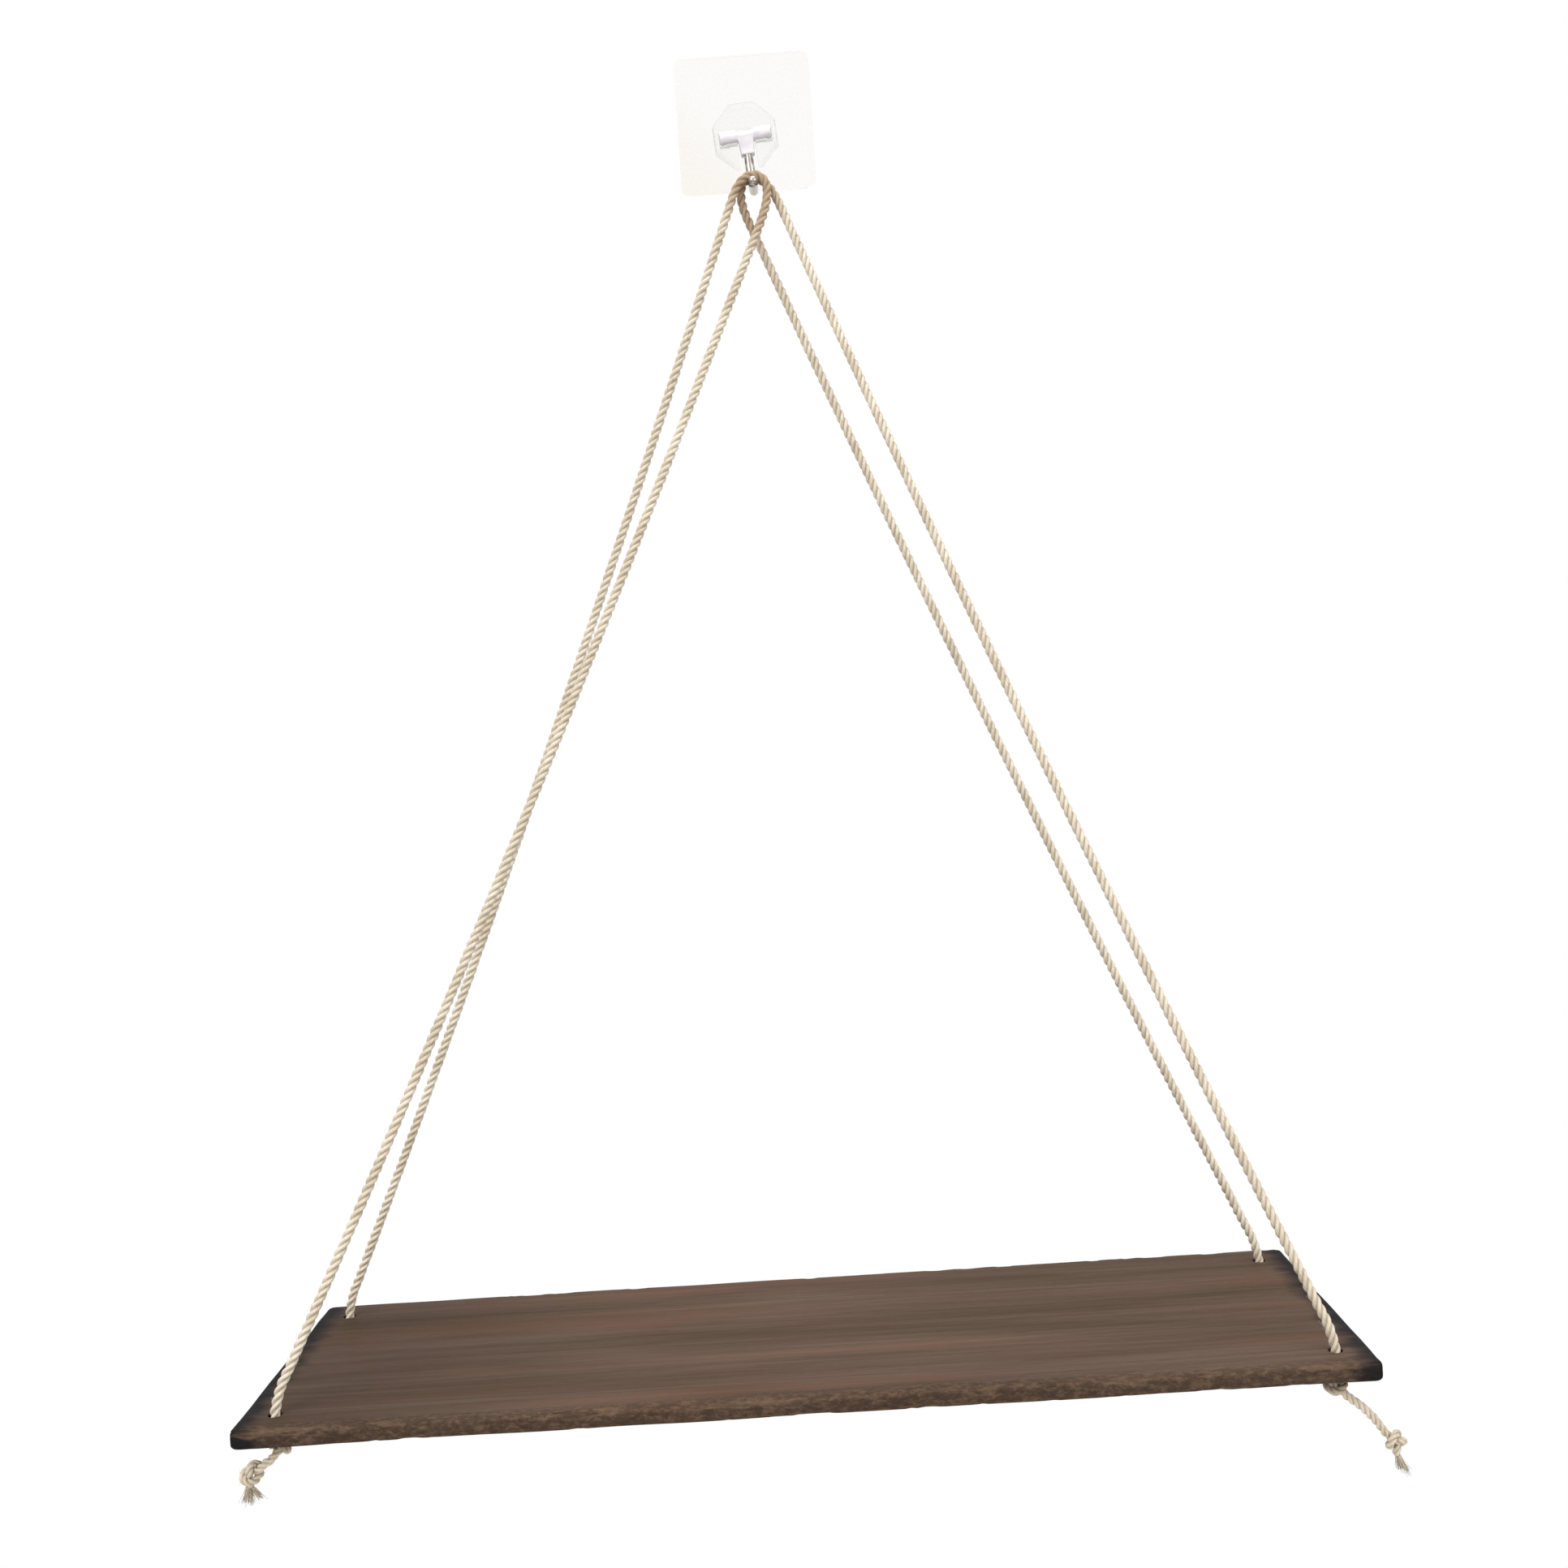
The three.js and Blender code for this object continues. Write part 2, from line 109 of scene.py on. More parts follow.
def vector_maths(tree, operation, *given, result="Vector"):
    """The result of a Vector Math node on vectors or sockets."""
    made = add_node(tree, "ShaderNodeVectorMath", enumerate(given), operation=operation)
    return made.outputs[result]


def mix(tree, kind, factor, a, b):
    """A Mix node, kind FLOAT or RGBA, whose three inputs may be values or sockets."""
    first, second, result = {"FLOAT": (2, 3, 0), "RGBA": (6, 7, 2)}[kind]
    made = add_node(tree, "ShaderNodeMix", {0: factor, first: a, second: b}, data_type=kind)
    return made.outputs[result]


def remap(tree, source, low, high, out_low=0.0, out_high=1.0):
    """A value between low and high, eased to run between two others."""
    return add_node(tree, "ShaderNodeMapRange", {
        "From Min": low, "From Max": high, "To Min": out_low, "To Max": out_high,
        "Value": source}, interpolation_type="SMOOTHSTEP").outputs["Result"]


def object_place(tree):
    return add_node(tree, "ShaderNodeTexCoord").outputs["Object"]


def split(tree, source):
    """The three parts of a vector, as sockets named X, Y and Z."""
    return add_node(tree, "ShaderNodeSeparateXYZ", {"Vector": source}).outputs


def noise_at(tree, place, sizes, detail=2.0, rough=0.5, distortion=0.0):
    """Noise whose blotches have the given sizes along the three axes of the place."""
    sized = add_node(tree, "ShaderNodeMapping", {
        "Scale": [1 / size for size in sizes], "Vector": place})
    return add_node(tree, "ShaderNodeTexNoise", {
        "Scale": 1.0, "Detail": detail, "Roughness": rough, "Distortion": distortion,
        "Vector": sized.outputs["Vector"]}).outputs["Fac"]


def add_relief(tree, shader, height, strength, distance):
    """Bump from a height pattern, for texture finer than the mesh."""
    bump = add_node(tree, "ShaderNodeBump", {
        "Strength": strength, "Distance": distance, "Height": height})
    tree.links.new(bump.outputs["Normal"], shader.inputs["Normal"])

# %% [markdown]
# ## The camera
# The photograph was taken from about 0.71 m in front of the wall, a little above the middle of
# the ropes' height, with the camera turned almost 4 degrees about its own line of sight. These
# values come from lines that are straight and level on the object: the plank's edges and the
# hook's film.

# %% Camera
camera_place = Vector((7.1, -714.9, -264.4)) * mm
camera_down = math.radians(2.15)
camera_to_right = math.radians(-0.71)
camera_roll = math.radians(3.77)
image_side = 1932
focal_length_in_pixels = 1970
sensor_width = 36

ahead = Vector((
    math.sin(camera_to_right) * math.cos(camera_down),
    math.cos(camera_to_right) * math.cos(camera_down),
    -math.sin(camera_down),
))
level_right = Vector((math.cos(camera_to_right), -math.sin(camera_to_right), 0))
level_up = level_right.cross(ahead)
camera_right = math.cos(camera_roll) * level_right - math.sin(camera_roll) * level_up
camera_up = math.sin(camera_roll) * level_right + math.cos(camera_roll) * level_up

camera_data = bpy.data.cameras.new("camera")
camera_data.sensor_width = sensor_width
camera_data.lens = sensor_width * focal_length_in_pixels / image_side
camera = bpy.data.objects.new("camera", camera_data)
turned = Matrix((camera_right, camera_up, -ahead)).transposed()
camera.matrix_world = Matrix.Translation(camera_place) @ turned.to_4x4()
bpy.context.collection.objects.link(camera)
bpy.context.scene.camera = camera
print("lens", round(camera_data.lens, 2), "mm")

# %% [markdown]
# ## The twine's routes
# Each twine is one length. It comes up out of a front hole, runs to the hook in a shallow bow
# under its own weight, bends over the wire and runs down to the back hole on its side. One leg
# keeps to its own side of the wire and the other crosses, so the two twines make a small open
# loop under the hook. The hook leans by 5 degrees, which brings the seat of its wire to the
# right, and the plank hangs a little to the left. The points below are those that the frame's
# own solids follow.

# %% Sizes that the twine follows
wire_radius = 4 / 2 * mm
twine_diameter = 4 * mm
twine_radius = twine_diameter / 2
pivot = Vector((0, -4.3, -6.5)) * mm
hook_lean = math.radians(5)
wire_reach = 26 * mm
seat_x = wire_reach * math.sin(hook_lean)
seat_z = pivot.z - wire_reach * math.cos(hook_lean)
back_rope_y = -13.5 * mm
front_rope_y = -17.9 * mm
wrap_radius = 4.3 * mm
leg_sag = 8 * mm
board_top_z = -514 * mm
board_thickness = 7 * mm
board_under_z = board_top_z - board_thickness
board_middle_x = -8 * mm
hole_reach = 201.5 * mm
front_hole_y = -117.5 * mm
back_hole_y = -16.5 * mm


def hole_x(side):
    """Across place of the holes at the left (-1) or right (1) end of the plank."""
    return board_middle_x + side * hole_reach

# %% Knot shape and tails
# Half an overhand knot, in pitches: out to the side, along the twine, and across both
knot_half_shares = [
    (0.8, 0, 0), (0.6, -0.6, 0.9), (-0.2, -1.1, 1.2), (-1.05, -1.15, 0.75),
    (-1.4, -0.7, -0.2), (-0.85, 0.05, -0.6), (-0.2, 0.85, -0.1),
]
knot_crown_share = 1.2
knot_entry_share = 1.8
knot_exit_shares = [(0.3, 1.3, 0), (0.85, 1.9, 0)]
stopper_pitch = 2.6 * mm
stopper_solid_diameter = 2.3 * mm
end_knot_pitch = 2.3 * mm
fit_gap = 0.3 * mm
stopper_drop = fit_gap + knot_crown_share * stopper_pitch + stopper_solid_diameter / 2
leg_end_z = board_under_z - stopper_drop + knot_entry_share * stopper_pitch + fit_gap

# Each tail's way from where it leaves its stopper knot, in mm: across, towards the wall, and up
tail_routes = {
    "front_left": [(0, 0, 0), (-1, 0, -1), (-2.6, -0.2, -1.7), (-4, -0.3, -2.9)],
    "front_right": [
        (0, 0, 0), (1.4, 0, -1.4), (6.1, -0.3, -5.2), (10.6, -0.5, -10.1), (14.7, -0.7, -15.9),
    ],
    "back_left": [(0, 0, 0), (-0.8, 0, -1), (-1.7, 0.2, -3.4), (-2.2, 0.3, -7)],
    "back_right": [(0, 0, 0), (0.9, 0, -1.1), (2, 0.2, -4), (2.6, 0.4, -8.4)],
}

# %% Places over the hook
# Across and up from the wire's middle, in shares of the radius at which the twine goes over it
hook_wrap_shares = [
    (-2.53, -1.98), (-2.09, -0.93), (-1.57, 0), (-0.87, 0.73), (0, 1.02), (0.77, 0.77),
    (1.23, 0.12), (1.33, -0.82), (1.19, -1.86), (0.84, -3.02), (0.38, -4.18),
]
leg_run_shares = [0.012, 0.03, 0.2, 0.4, 0.6, 0.8, 0.97]
leg_bend_share = 1.2
hole_places_z = [leg_end_z, (leg_end_z + board_top_z) / 2, board_top_z + fit_gap]


def rope_route(side, y, own_hole_y, cross_hole_y):
    """The points of one twine, from the hole of its own leg over the wire to the other hole."""
    bend_z = board_top_z + leg_bend_share * twine_diameter
    top = next(i for i, (across, up) in enumerate(hook_wrap_shares) if across == 0)
    wrap = []
    for i, (across, up) in enumerate(hook_wrap_shares):
        z = seat_z + up * wrap_radius
        hole_y = own_hole_y if i < top else cross_hole_y
        lean = max(0, (seat_z - z) / (seat_z - bend_z))
        wrap.append(Vector((seat_x - side * across * wrap_radius, y + (hole_y - y) * lean, z)))

    def leg(hole_y, reached):
        foot = Vector((hole_x(side), hole_y, bend_z))
        places = [Vector((foot.x, foot.y, z)) for z in hole_places_z]
        for share in leg_run_shares:
            sag = 4 * share * (1 - share) * leg_sag
            places.append(foot.lerp(reached, share) - Vector((0, 0, sag)))
        return places

    return leg(own_hole_y, wrap[0]) + wrap + leg(cross_hole_y, wrap[-1])[::-1]


routes = {
    "left_rope": rope_route(-1, front_rope_y, back_hole_y, front_hole_y),
    "right_rope": rope_route(1, back_rope_y, front_hole_y, back_hole_y),
}
print({name: len(points) for name, points in routes.items()}, "points")

# %% [markdown]
# ## From points to a smooth line
# A centripetal spline goes through every point and doesn't overshoot where points lie close
# together, as they do over the wire. The line is then walked in even steps, so that the
# strands wind at a steady rate.

# %% Smooth line through points
def walked_along(line):
    """How far along a line each of its points lies."""
    return np.concatenate([[0], np.cumsum(np.linalg.norm(np.diff(line, axis=0), axis=1))])


def smooth_line(points, step, steps_per_span=24):
    """Even steps along a centripetal spline through the points, as an array."""
    p = [np.array(q, dtype=float) for q in points]
    p = [2 * p[0] - p[1]] + p + [2 * p[-1] - p[-2]]
    fine = []
    for a, b, c, d in zip(p, p[1:], p[2:], p[3:]):
        t1 = np.linalg.norm(b - a) ** 0.5
        t2 = t1 + np.linalg.norm(c - b) ** 0.5
        t3 = t2 + np.linalg.norm(d - c) ** 0.5
        for k in range(steps_per_span):
            t = t1 + (t2 - t1) * k / steps_per_span
            ab = (t1 - t) / t1 * a + t / t1 * b
            bc = (t2 - t) / (t2 - t1) * b + (t - t1) / (t2 - t1) * c
            cd = (t3 - t) / (t3 - t2) * c + (t - t2) / (t3 - t2) * d
            abc = (t2 - t) / t2 * ab + t / t2 * bc
            bcd = (t3 - t) / (t3 - t1) * bc + (t - t1) / (t3 - t1) * cd
            fine.append((t2 - t) / (t2 - t1) * abc + (t - t1) / (t2 - t1) * bcd)
    fine = np.array(fine + [p[-2]])
    walked = walked_along(fine)
    stops = np.linspace(0, walked[-1], max(2, round(walked[-1] / step)) + 1)
    return np.stack([np.interp(stops, walked, fine[:, i]) for i in range(3)], axis=1)


def line_length(line):
    return float(np.linalg.norm(np.diff(line, axis=0), axis=1).sum())


rope_step = 0.85 * mm
lines = {name: smooth_line(points, rope_step) for name, points in routes.items()}
for name, line in lines.items():
    print(name, "runs", round(line_length(line), 4), "m")

# %% [markdown]
# ## Laying the strands
# Jute twine is three strands laid round each other. Seen end on, it is three lobes with a
# groove between each pair. That outline is carried along the line and turned at the rate of
# the lay, about one turn every 11 mm, so the grooves wind as the real ones do. Loose fibres
# stand off the surface here and there.

# %% The twine's outline
strand_share = 1 / 1.95
strand_offset_share = 0.95 * strand_share
points_per_strand = 8
strands = 3


def outline_shares():
    """Angle, radius in shares of the twine's radius, and depth into the groove, per point."""
    rows = []
    half = math.pi / strands
    for k in range(points_per_strand):
        turn = -half + 2 * half * k / points_per_strand
        reach = strand_offset_share * math.cos(turn) + math.sqrt(
            strand_share ** 2 - (strand_offset_share * math.sin(turn)) ** 2)
        rows.append((turn, reach, abs(turn) / half))
    return [(turn + 2 * half * s, reach, deep)
            for s in range(strands) for turn, reach, deep in rows]


outline = outline_shares()
print(len(outline), "points round, groove at",
      round(min(reach for _, reach, _ in outline), 2), "of the radius")


# %% Frames along a line
def frames_along(line):
    """Directions along the line, and two across it that don't spin about it."""
    ahead = np.gradient(line, axis=0)
    ahead /= np.linalg.norm(ahead, axis=1)[:, None]
    first = np.cross(ahead[0], (0.31, 0.95, 0.05))
    side = [first / np.linalg.norm(first)]
    for direction in ahead[1:]:
        carried = side[-1] - direction * np.dot(side[-1], direction)
        side.append(carried / np.linalg.norm(carried))
    side = np.array(side)
    return ahead, side, np.cross(ahead, side)


# %% Twine mesh
fibre_radius = 0.045 * mm
fibre_sides = 3
fibre_tip_share = 0.35
fuzz_lengths_in_mm = (1.2, 3.6)
fuzz_lifts = (0.25, 0.62)


class TwineMesh:
    """Collects the corners, faces, pattern coordinates and groove depths of one twine piece."""

    def __init__(self):
        self.corners, self.faces, self.pattern, self.deep = [], [], [], []

    def tube(self, line, radii, lay, first_turn=0.0, shape=None):
        """Carries an outline along a line, turned once per lay, and closes its ends."""
        shape = shape or outline
        ahead, side, over = frames_along(line)
        gone = walked_along(line)
        twists = first_turn + (2 * math.pi * gone / lay if lay else 0 * gone)
        base = len(self.corners)
        count = len(shape)
        for i, middle in enumerate(line):
            for turn, reach, deep in shape:
                at = turn + twists[i]
                out = math.cos(at) * side[i] + math.sin(at) * over[i]
                self.corners.append(middle + radii[i] * reach * out)
                self.deep.append(deep)
        for i in range(len(line) - 1):
            for k in range(count):
                after = (k + 1) % count
                low = base + i * count
                high = low + count
                self.faces.append((low + k, low + after, high + after, high + k))
                here = shape[k][0]
                there = shape[after][0] + (2 * math.pi if after == 0 else 0)
                self.pattern += [
                    (gone[j], (turn + twists[j]) * twine_radius)
                    for j, turn in ((i, here), (i, there), (i + 1, there), (i + 1, here))]
        for i, ring in ((0, base), (len(line) - 1, base + (len(line) - 1) * count)):
            self.corners.append(line[i])
            self.deep.append(1.0)
            tip = len(self.corners) - 1
            for k in range(count):
                pair = (ring + k, ring + (k + 1) % count)
                self.faces.append((tip, *(reversed(pair) if i == 0 else pair)))
                self.pattern += [(gone[i], 0.0)] * 3

    def fibre(self, line, root_radius):
        """A loose fibre: a thin tube that tapers to its tip."""
        shape = [(2 * math.pi * k / fibre_sides, 1.0, 0.0) for k in range(fibre_sides)]
        radii = np.linspace(root_radius, root_radius * fibre_tip_share, len(line))
        self.tube(line, radii, 0, shape=shape)

    def build(self, name, material):
        mesh = bpy.data.meshes.new(name)
        mesh.from_pydata([tuple(c) for c in self.corners], [], self.faces)
        mesh.uv_layers.new(name="twine_pattern")
        mesh.uv_layers[0].data.foreach_set("uv", [v for pair in self.pattern for v in pair])
        groove = mesh.attributes.new("groove", "FLOAT", "POINT")
        groove.data.foreach_set("value", self.deep)
        mesh.shade_smooth()
        mesh.materials.append(material)
        piece = bpy.data.objects.new(name, mesh)
        bpy.context.collection.objects.link(piece)
        return piece


def add_fuzz(twine, line, radius, per_metre, seed):
    """Loose fibres that lift off the twine's surface and lie back along it."""
    draw = random.Random(seed)
    ahead, side, over = frames_along(line)
    for _ in range(round(per_metre * line_length(line))):
        i = draw.randrange(2, len(line) - 2)
        turn = draw.uniform(0, 2 * math.pi)
        out = math.cos(turn) * side[i] + math.sin(turn) * over[i]
        around = np.cross(ahead[i], out)
        way = draw.choice((-1, 1)) * ahead[i]
        length = draw.uniform(*fuzz_lengths_in_mm) * mm
        lift = draw.uniform(*fuzz_lifts)
        drift = draw.uniform(-0.5, 0.5)
        points = []
        for share in (0, 0.35, 0.7, 1.0):
            along = share * length
            points.append(line[i] + out * (0.8 * radius + lift * along * (1.25 - 0.45 * share))
                          + way * along * (1 - 0.4 * lift) + around * drift * along * share)
        twine.fibre(np.array(points), fibre_radius * draw.uniform(0.7, 1.3))

# %% [markdown]
# ## Jute
# The twine is natural jute: dull, beige fibres with no gloss but a soft sheen. The fibres run
# along the twine even where the strands wind, so their streaks follow the piece's own pattern
# coordinates, in metres along and around. Real fibres are too fine to show, so the streaks are
# 0.25 mm wide. The grooves between the strands are painted darker as painted shade. Where the
# twine bears on the wire it is painted browner, partly as rubbing and partly as painted shade,
# and the knots under the plank are painted a darker brown as the plank's painted shadow.

# %% Jute material
jute, tree, shader = new_material("natural_jute_twine", {
    "Roughness": 0.88, "IOR": 1.5, "Specular IOR Level": 0.25,
    "Sheen Weight": 0.08, "Sheen Roughness": 0.5,
})
streak_width = 0.25 * mm
streak_length = 5 * mm
tone_size = 14 * mm
painted_groove_shade = 0.6
rub_and_shade_middle_drop = 4 * mm
rub_and_shade_near = 6 * mm
rub_and_shade_far = 15 * mm
rub_and_shade_height_share = 0.45
plank_shade_full_drop = 4 * mm
plank_shade_end_drop = 10 * mm
pattern = add_node(tree, "ShaderNodeUVMap", uv_map="twine_pattern").outputs["UV"]
place = object_place(tree)
streaks = noise_at(tree, pattern, (streak_length, streak_width, 1), 4.0, 0.62)
tones = noise_at(tree, place, (tone_size, tone_size, tone_size))
fibres = ramp(tree, mix(tree, "FLOAT", 0.35, streaks, tones), [
    (0.3, "a6967f"), (0.44, "c6b9a3"), (0.56, "dcd1be"), (0.7, "eee7da")])
groove = add_node(tree, "ShaderNodeAttribute", attribute_name="groove").outputs["Fac"]
# The grooves between the strands are painted darker, as painted shade.
groove_shade_share = maths(tree, "MULTIPLY", maths(tree, "POWER", groove, 3.0), painted_groove_shade)
shaded = mix(tree, "RGBA", groove_shade_share, fibres, colour("8a785f"))
# Near the wire the twine is painted browner: partly rubbing from the wire, partly painted shade
# where it wraps over it.
from_seat = vector_maths(tree, "SUBTRACT", place, (
    seat_x, front_rope_y, seat_z - rub_and_shade_middle_drop))
squeezed = vector_maths(tree, "MULTIPLY", from_seat, (1, 1, rub_and_shade_height_share))
away = vector_maths(tree, "LENGTH", squeezed, result="Value")
near_hook = remap(tree, away, rub_and_shade_near, rub_and_shade_far, 0.6, 0.0)
rubbed_and_shaded = mix(tree, "RGBA", near_hook, shaded, colour("8f6a45"))
# Just under the plank the twine is painted a darker brown, as the plank's painted shadow.
height = split(tree, place)["Z"]
near_plank = remap(tree, height, board_under_z - plank_shade_end_drop,
                   board_under_z - plank_shade_full_drop, 0.0, 0.65)
under_plank = maths(tree, "LESS_THAN", height, board_under_z)
plank_shade_share = maths(tree, "MULTIPLY", near_plank, under_plank)
jute_colour_and_shade = mix(tree, "RGBA", plank_shade_share, rubbed_and_shaded, colour("735847"))
tree.links.new(jute_colour_and_shade, shader.inputs["Base Color"])
add_relief(tree, shader, streaks, 0.7, 0.12 * mm)
print("streaks", streak_width / mm, "mm wide")

# %% [markdown]
# ## The two ropes
# Each rope is laid along its line as one piece, because it is one length of twine that
# someone cuts to make the shelf. It stands for the three stretches that the frame splits it
# into.

# %% Ropes
rope_lay = 11 * mm
fuzz_per_metre = 520
ropes = {}
for seed, (name, line) in enumerate(lines.items()):
    twine = TwineMesh()
    uneven = [1 + 0.05 * noise.noise(Vector(p) / (9 * mm)) for p in line]
    twine.tube(line, [twine_radius * u for u in uneven], rope_lay, first_turn=seed)
    add_fuzz(twine, line, twine_radius, fuzz_per_metre, seed)
    ropes[name] = twine.build(name, jute)
    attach(ropes[name], "shelf")
    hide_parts(f"{name}_front_leg", f"{name}_bight", f"{name}_back_leg")
    print(name, len(twine.faces), "faces")

# %% [markdown]
# ## Knots and tails
# Under the plank, an overhand knot stops each twine. A short tail hangs from it, with a second,
# smaller knot that keeps the end from running apart, and then the strands fray. The knots are
# tied in the same twine, so knot, tail and end knot are laid as one piece: pulled tight, the
# twine is thinner and more steeply laid inside a knot.

# %% Route of a knotted end
def knot_places(middle, along, out, pitch):
    """The points of an overhand knot: the second half is given, the first is it turned round."""
    across = out.cross(along)
    before = [(side, -on, -over) for side, on, over in reversed(knot_half_shares[1:])]
    shares = [(0, -knot_entry_share, 0)] + before + knot_half_shares + knot_exit_shares
    return [middle + pitch * (side * out + on * along + over * across)
            for side, on, over in shares]


def way_at_end(points):
    """The way in which a smooth line through the points leaves the last of them."""
    fine = smooth_line(points, 0.2 * mm)
    return Vector(fine[-1] - fine[-2]).normalized()


def knotted_end(corner):
    """Points from inside the hole down to the frayed end: the stopper knot, the tail and the end
    knot.
    """
    side = 1 if corner.endswith("right") else -1
    y = front_hole_y if corner.startswith("front") else back_hole_y
    down, outward = Vector((0, 0, -1)), Vector((side, 0, 0))
    stopper_middle = Vector((hole_x(side), y, board_under_z - stopper_drop))
    stopper = knot_places(stopper_middle, down, outward, stopper_pitch)
    tail_start = stopper[-1] + way_at_end(stopper) * fit_gap
    tail = [tail_start + Vector(p) * mm for p in tail_routes[corner]]
    along = way_at_end(tail)
    lower_side = (down - along * down.dot(along)).normalized()
    middle = tail[-1] + along * (fit_gap + knot_entry_share * end_knot_pitch)
    end_knot = knot_places(middle, along, lower_side, end_knot_pitch)
    return stopper, tail[1:-1], end_knot


knot_twine_radius = 3.3 / 2 * mm
tail_twine_radius = 3.4 / 2 * mm
end_knot_twine_radius = 3.1 / 2 * mm
knot_lay = 8.5 * mm
end_step = 0.45 * mm
into_hole = 1.5 * mm

# %% Frayed ends
# The ways in which each end's three strands spread, as shares of the fray's length
fray_ways = {
    "front_left": [(-0.3, -0.1, -0.9), (0.1, -0.1, -1.05), (0.65, 0.1, -0.75)],
    "front_right": [(0.55, 0, -0.85), (0.3, 0.15, -1.0), (0.5, -0.1, -1.05)],
    "back_left": [(-0.35, 0.05, -0.95), (0.05, -0.15, -1.05), (0.35, 0.1, -0.9)],
    "back_right": [(-0.25, 0.1, -0.95), (0.2, -0.1, -1.05), (0.45, 0.15, -0.8)],
}
fray_length = 6 * mm
fibres_per_strand = 75
fray_fibre_radius = 0.16 * mm
fray_spread = 0.11


def add_fray(twine, start, along, ways, seed):
    """Three strands that open into fibres, each bending from the twine's way to its own."""
    draw = random.Random(seed)
    around = along.orthogonal().normalized()
    for s, way in enumerate(ways):
        root_turn = 2 * math.pi * s / len(ways)
        for _ in range(fibres_per_strand):
            turn = root_turn + draw.gauss(0, 0.5)
            spot = around.copy()
            spot.rotate(Matrix.Rotation(turn, 3, along))
            root = start - along * 1.2 * mm + spot * draw.uniform(0.1, 0.9) * mm
            spread = Vector([draw.gauss(0, fray_spread) for _ in range(3)])
            goal = (Vector(way) + spread) * fray_length * draw.uniform(0.7, 1.05)
            points = [root + along * 1.4 * mm * share + goal * share ** 1.5
                      + Vector([draw.gauss(0, 0.1) for _ in range(3)]) * mm * share
                      for share in (0, 0.2, 0.4, 0.6, 0.8, 1.0)]
            twine.fibre(np.array([tuple(p) for p in points]), fray_fibre_radius)


# %% Four knotted ends
twine_ends = {"left_rope": [], "right_rope": []}
for seed, corner in enumerate(tail_routes, start=10):
    stopper, tail, end_knot = knotted_end(corner)
    start = stopper[0] + Vector((0, 0, into_hole))
    stretches = [
        ([start], twine_radius), (stopper[:1], knot_twine_radius), (stopper[1:], knot_twine_radius),
        (tail, tail_twine_radius), (end_knot, end_knot_twine_radius),
    ]
    points = [p for stretch, _ in stretches for p in stretch]
    line = smooth_line(points, end_step)
    control_radii = [radius for stretch, radius in stretches for _ in stretch]
    marks = [int(np.argmin(np.linalg.norm(line - np.array(p), axis=1))) for p in points]
    marks = np.maximum.accumulate(marks)
    radii = np.interp(np.arange(len(line)), marks, control_radii)

    knotted = TwineMesh()
    knotted.tube(line, radii, knot_lay, first_turn=seed)
    add_fuzz(knotted, line, knot_twine_radius, fuzz_per_metre, seed)
    end = knotted.build(f"{corner}_knots", jute)
    frayed = TwineMesh()
    add_fray(frayed, Vector(line[-1]), way_at_end(end_knot), fray_ways[corner], seed)
    tuft = frayed.build(f"{corner}_fray", jute)
    for piece, nodes in ((end, ("stopper_knot", "tail", "end_knot")), (tuft, ("frayed_end",))):
        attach(piece, "shelf")
        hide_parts(*[f"{corner}_{node}" for node in nodes])
    twine_ends["left_rope" if corner.endswith("left") else "right_rope"] += [end, tuft]
    print(corner, "twine below the plank", round(line_length(line) * 1000, 1), "mm")

# %% [markdown]
# ## The plank
# The board is a piece of softwood, 430 by 130 by 7 mm, with rounded corners, eased arrises and
# a hole near each corner. It is modelled as by hand: a block with its upright edges rounded,
# then its arrises, then cut into a net of small faces so that wear can be worked into the
# edges, and last the drilled holes. Wear matters most on the front arris, which is dented and
# chipped along its length.

# %% Picking what an operator works on
def pick(piece, kind, test):
    """Edit mode with only the corners, edges or faces selected whose middle passes the test."""
    bpy.ops.object.mode_set(mode="EDIT")
    bpy.ops.mesh.select_mode(type=kind)
    bpy.ops.mesh.select_all(action="DESELECT")
    bpy.ops.object.mode_set(mode="OBJECT")
    mesh = piece.data
    if kind == "FACE":
        for face in mesh.polygons:
            face.select = test(face.center, face.normal)
    elif kind == "EDGE":
        for edge in mesh.edges:
            edge.select = test(*[mesh.vertices[i].co for i in edge.vertices])
    else:
        for corner in mesh.vertices:
            corner.select = test(corner.co)
    bpy.ops.object.mode_set(mode="EDIT")


def settle(name):
    """Names the newest piece and moves its place, turn and size into its mesh."""
    bpy.ops.object.transform_apply(location=True, rotation=True, scale=True)
    piece = bpy.context.object
    piece.name = name
    piece.data.name = name
    return piece


def select_only(piece):
    bpy.ops.object.select_all(action="DESELECT")
    piece.select_set(True)
    bpy.context.view_layer.objects.active = piece


def add_block(name, low, high):
    """A block between two corners, alone in the selection, with its place in its mesh."""
    bpy.ops.object.select_all(action="DESELECT")
    low, high = Vector(low), Vector(high)
    bpy.ops.mesh.primitive_cube_add(size=1, location=(low + high) / 2, scale=high - low)
    return settle(name)


def cut_across(axis, places):
    """New edges all round the piece, where planes across an axis pass through it."""
    normal = [float(i == axis) for i in range(3)]
    for place in places:
        bpy.ops.mesh.select_all(action="SELECT")
        bpy.ops.mesh.bisect(plane_co=[place * n for n in normal], plane_no=normal)


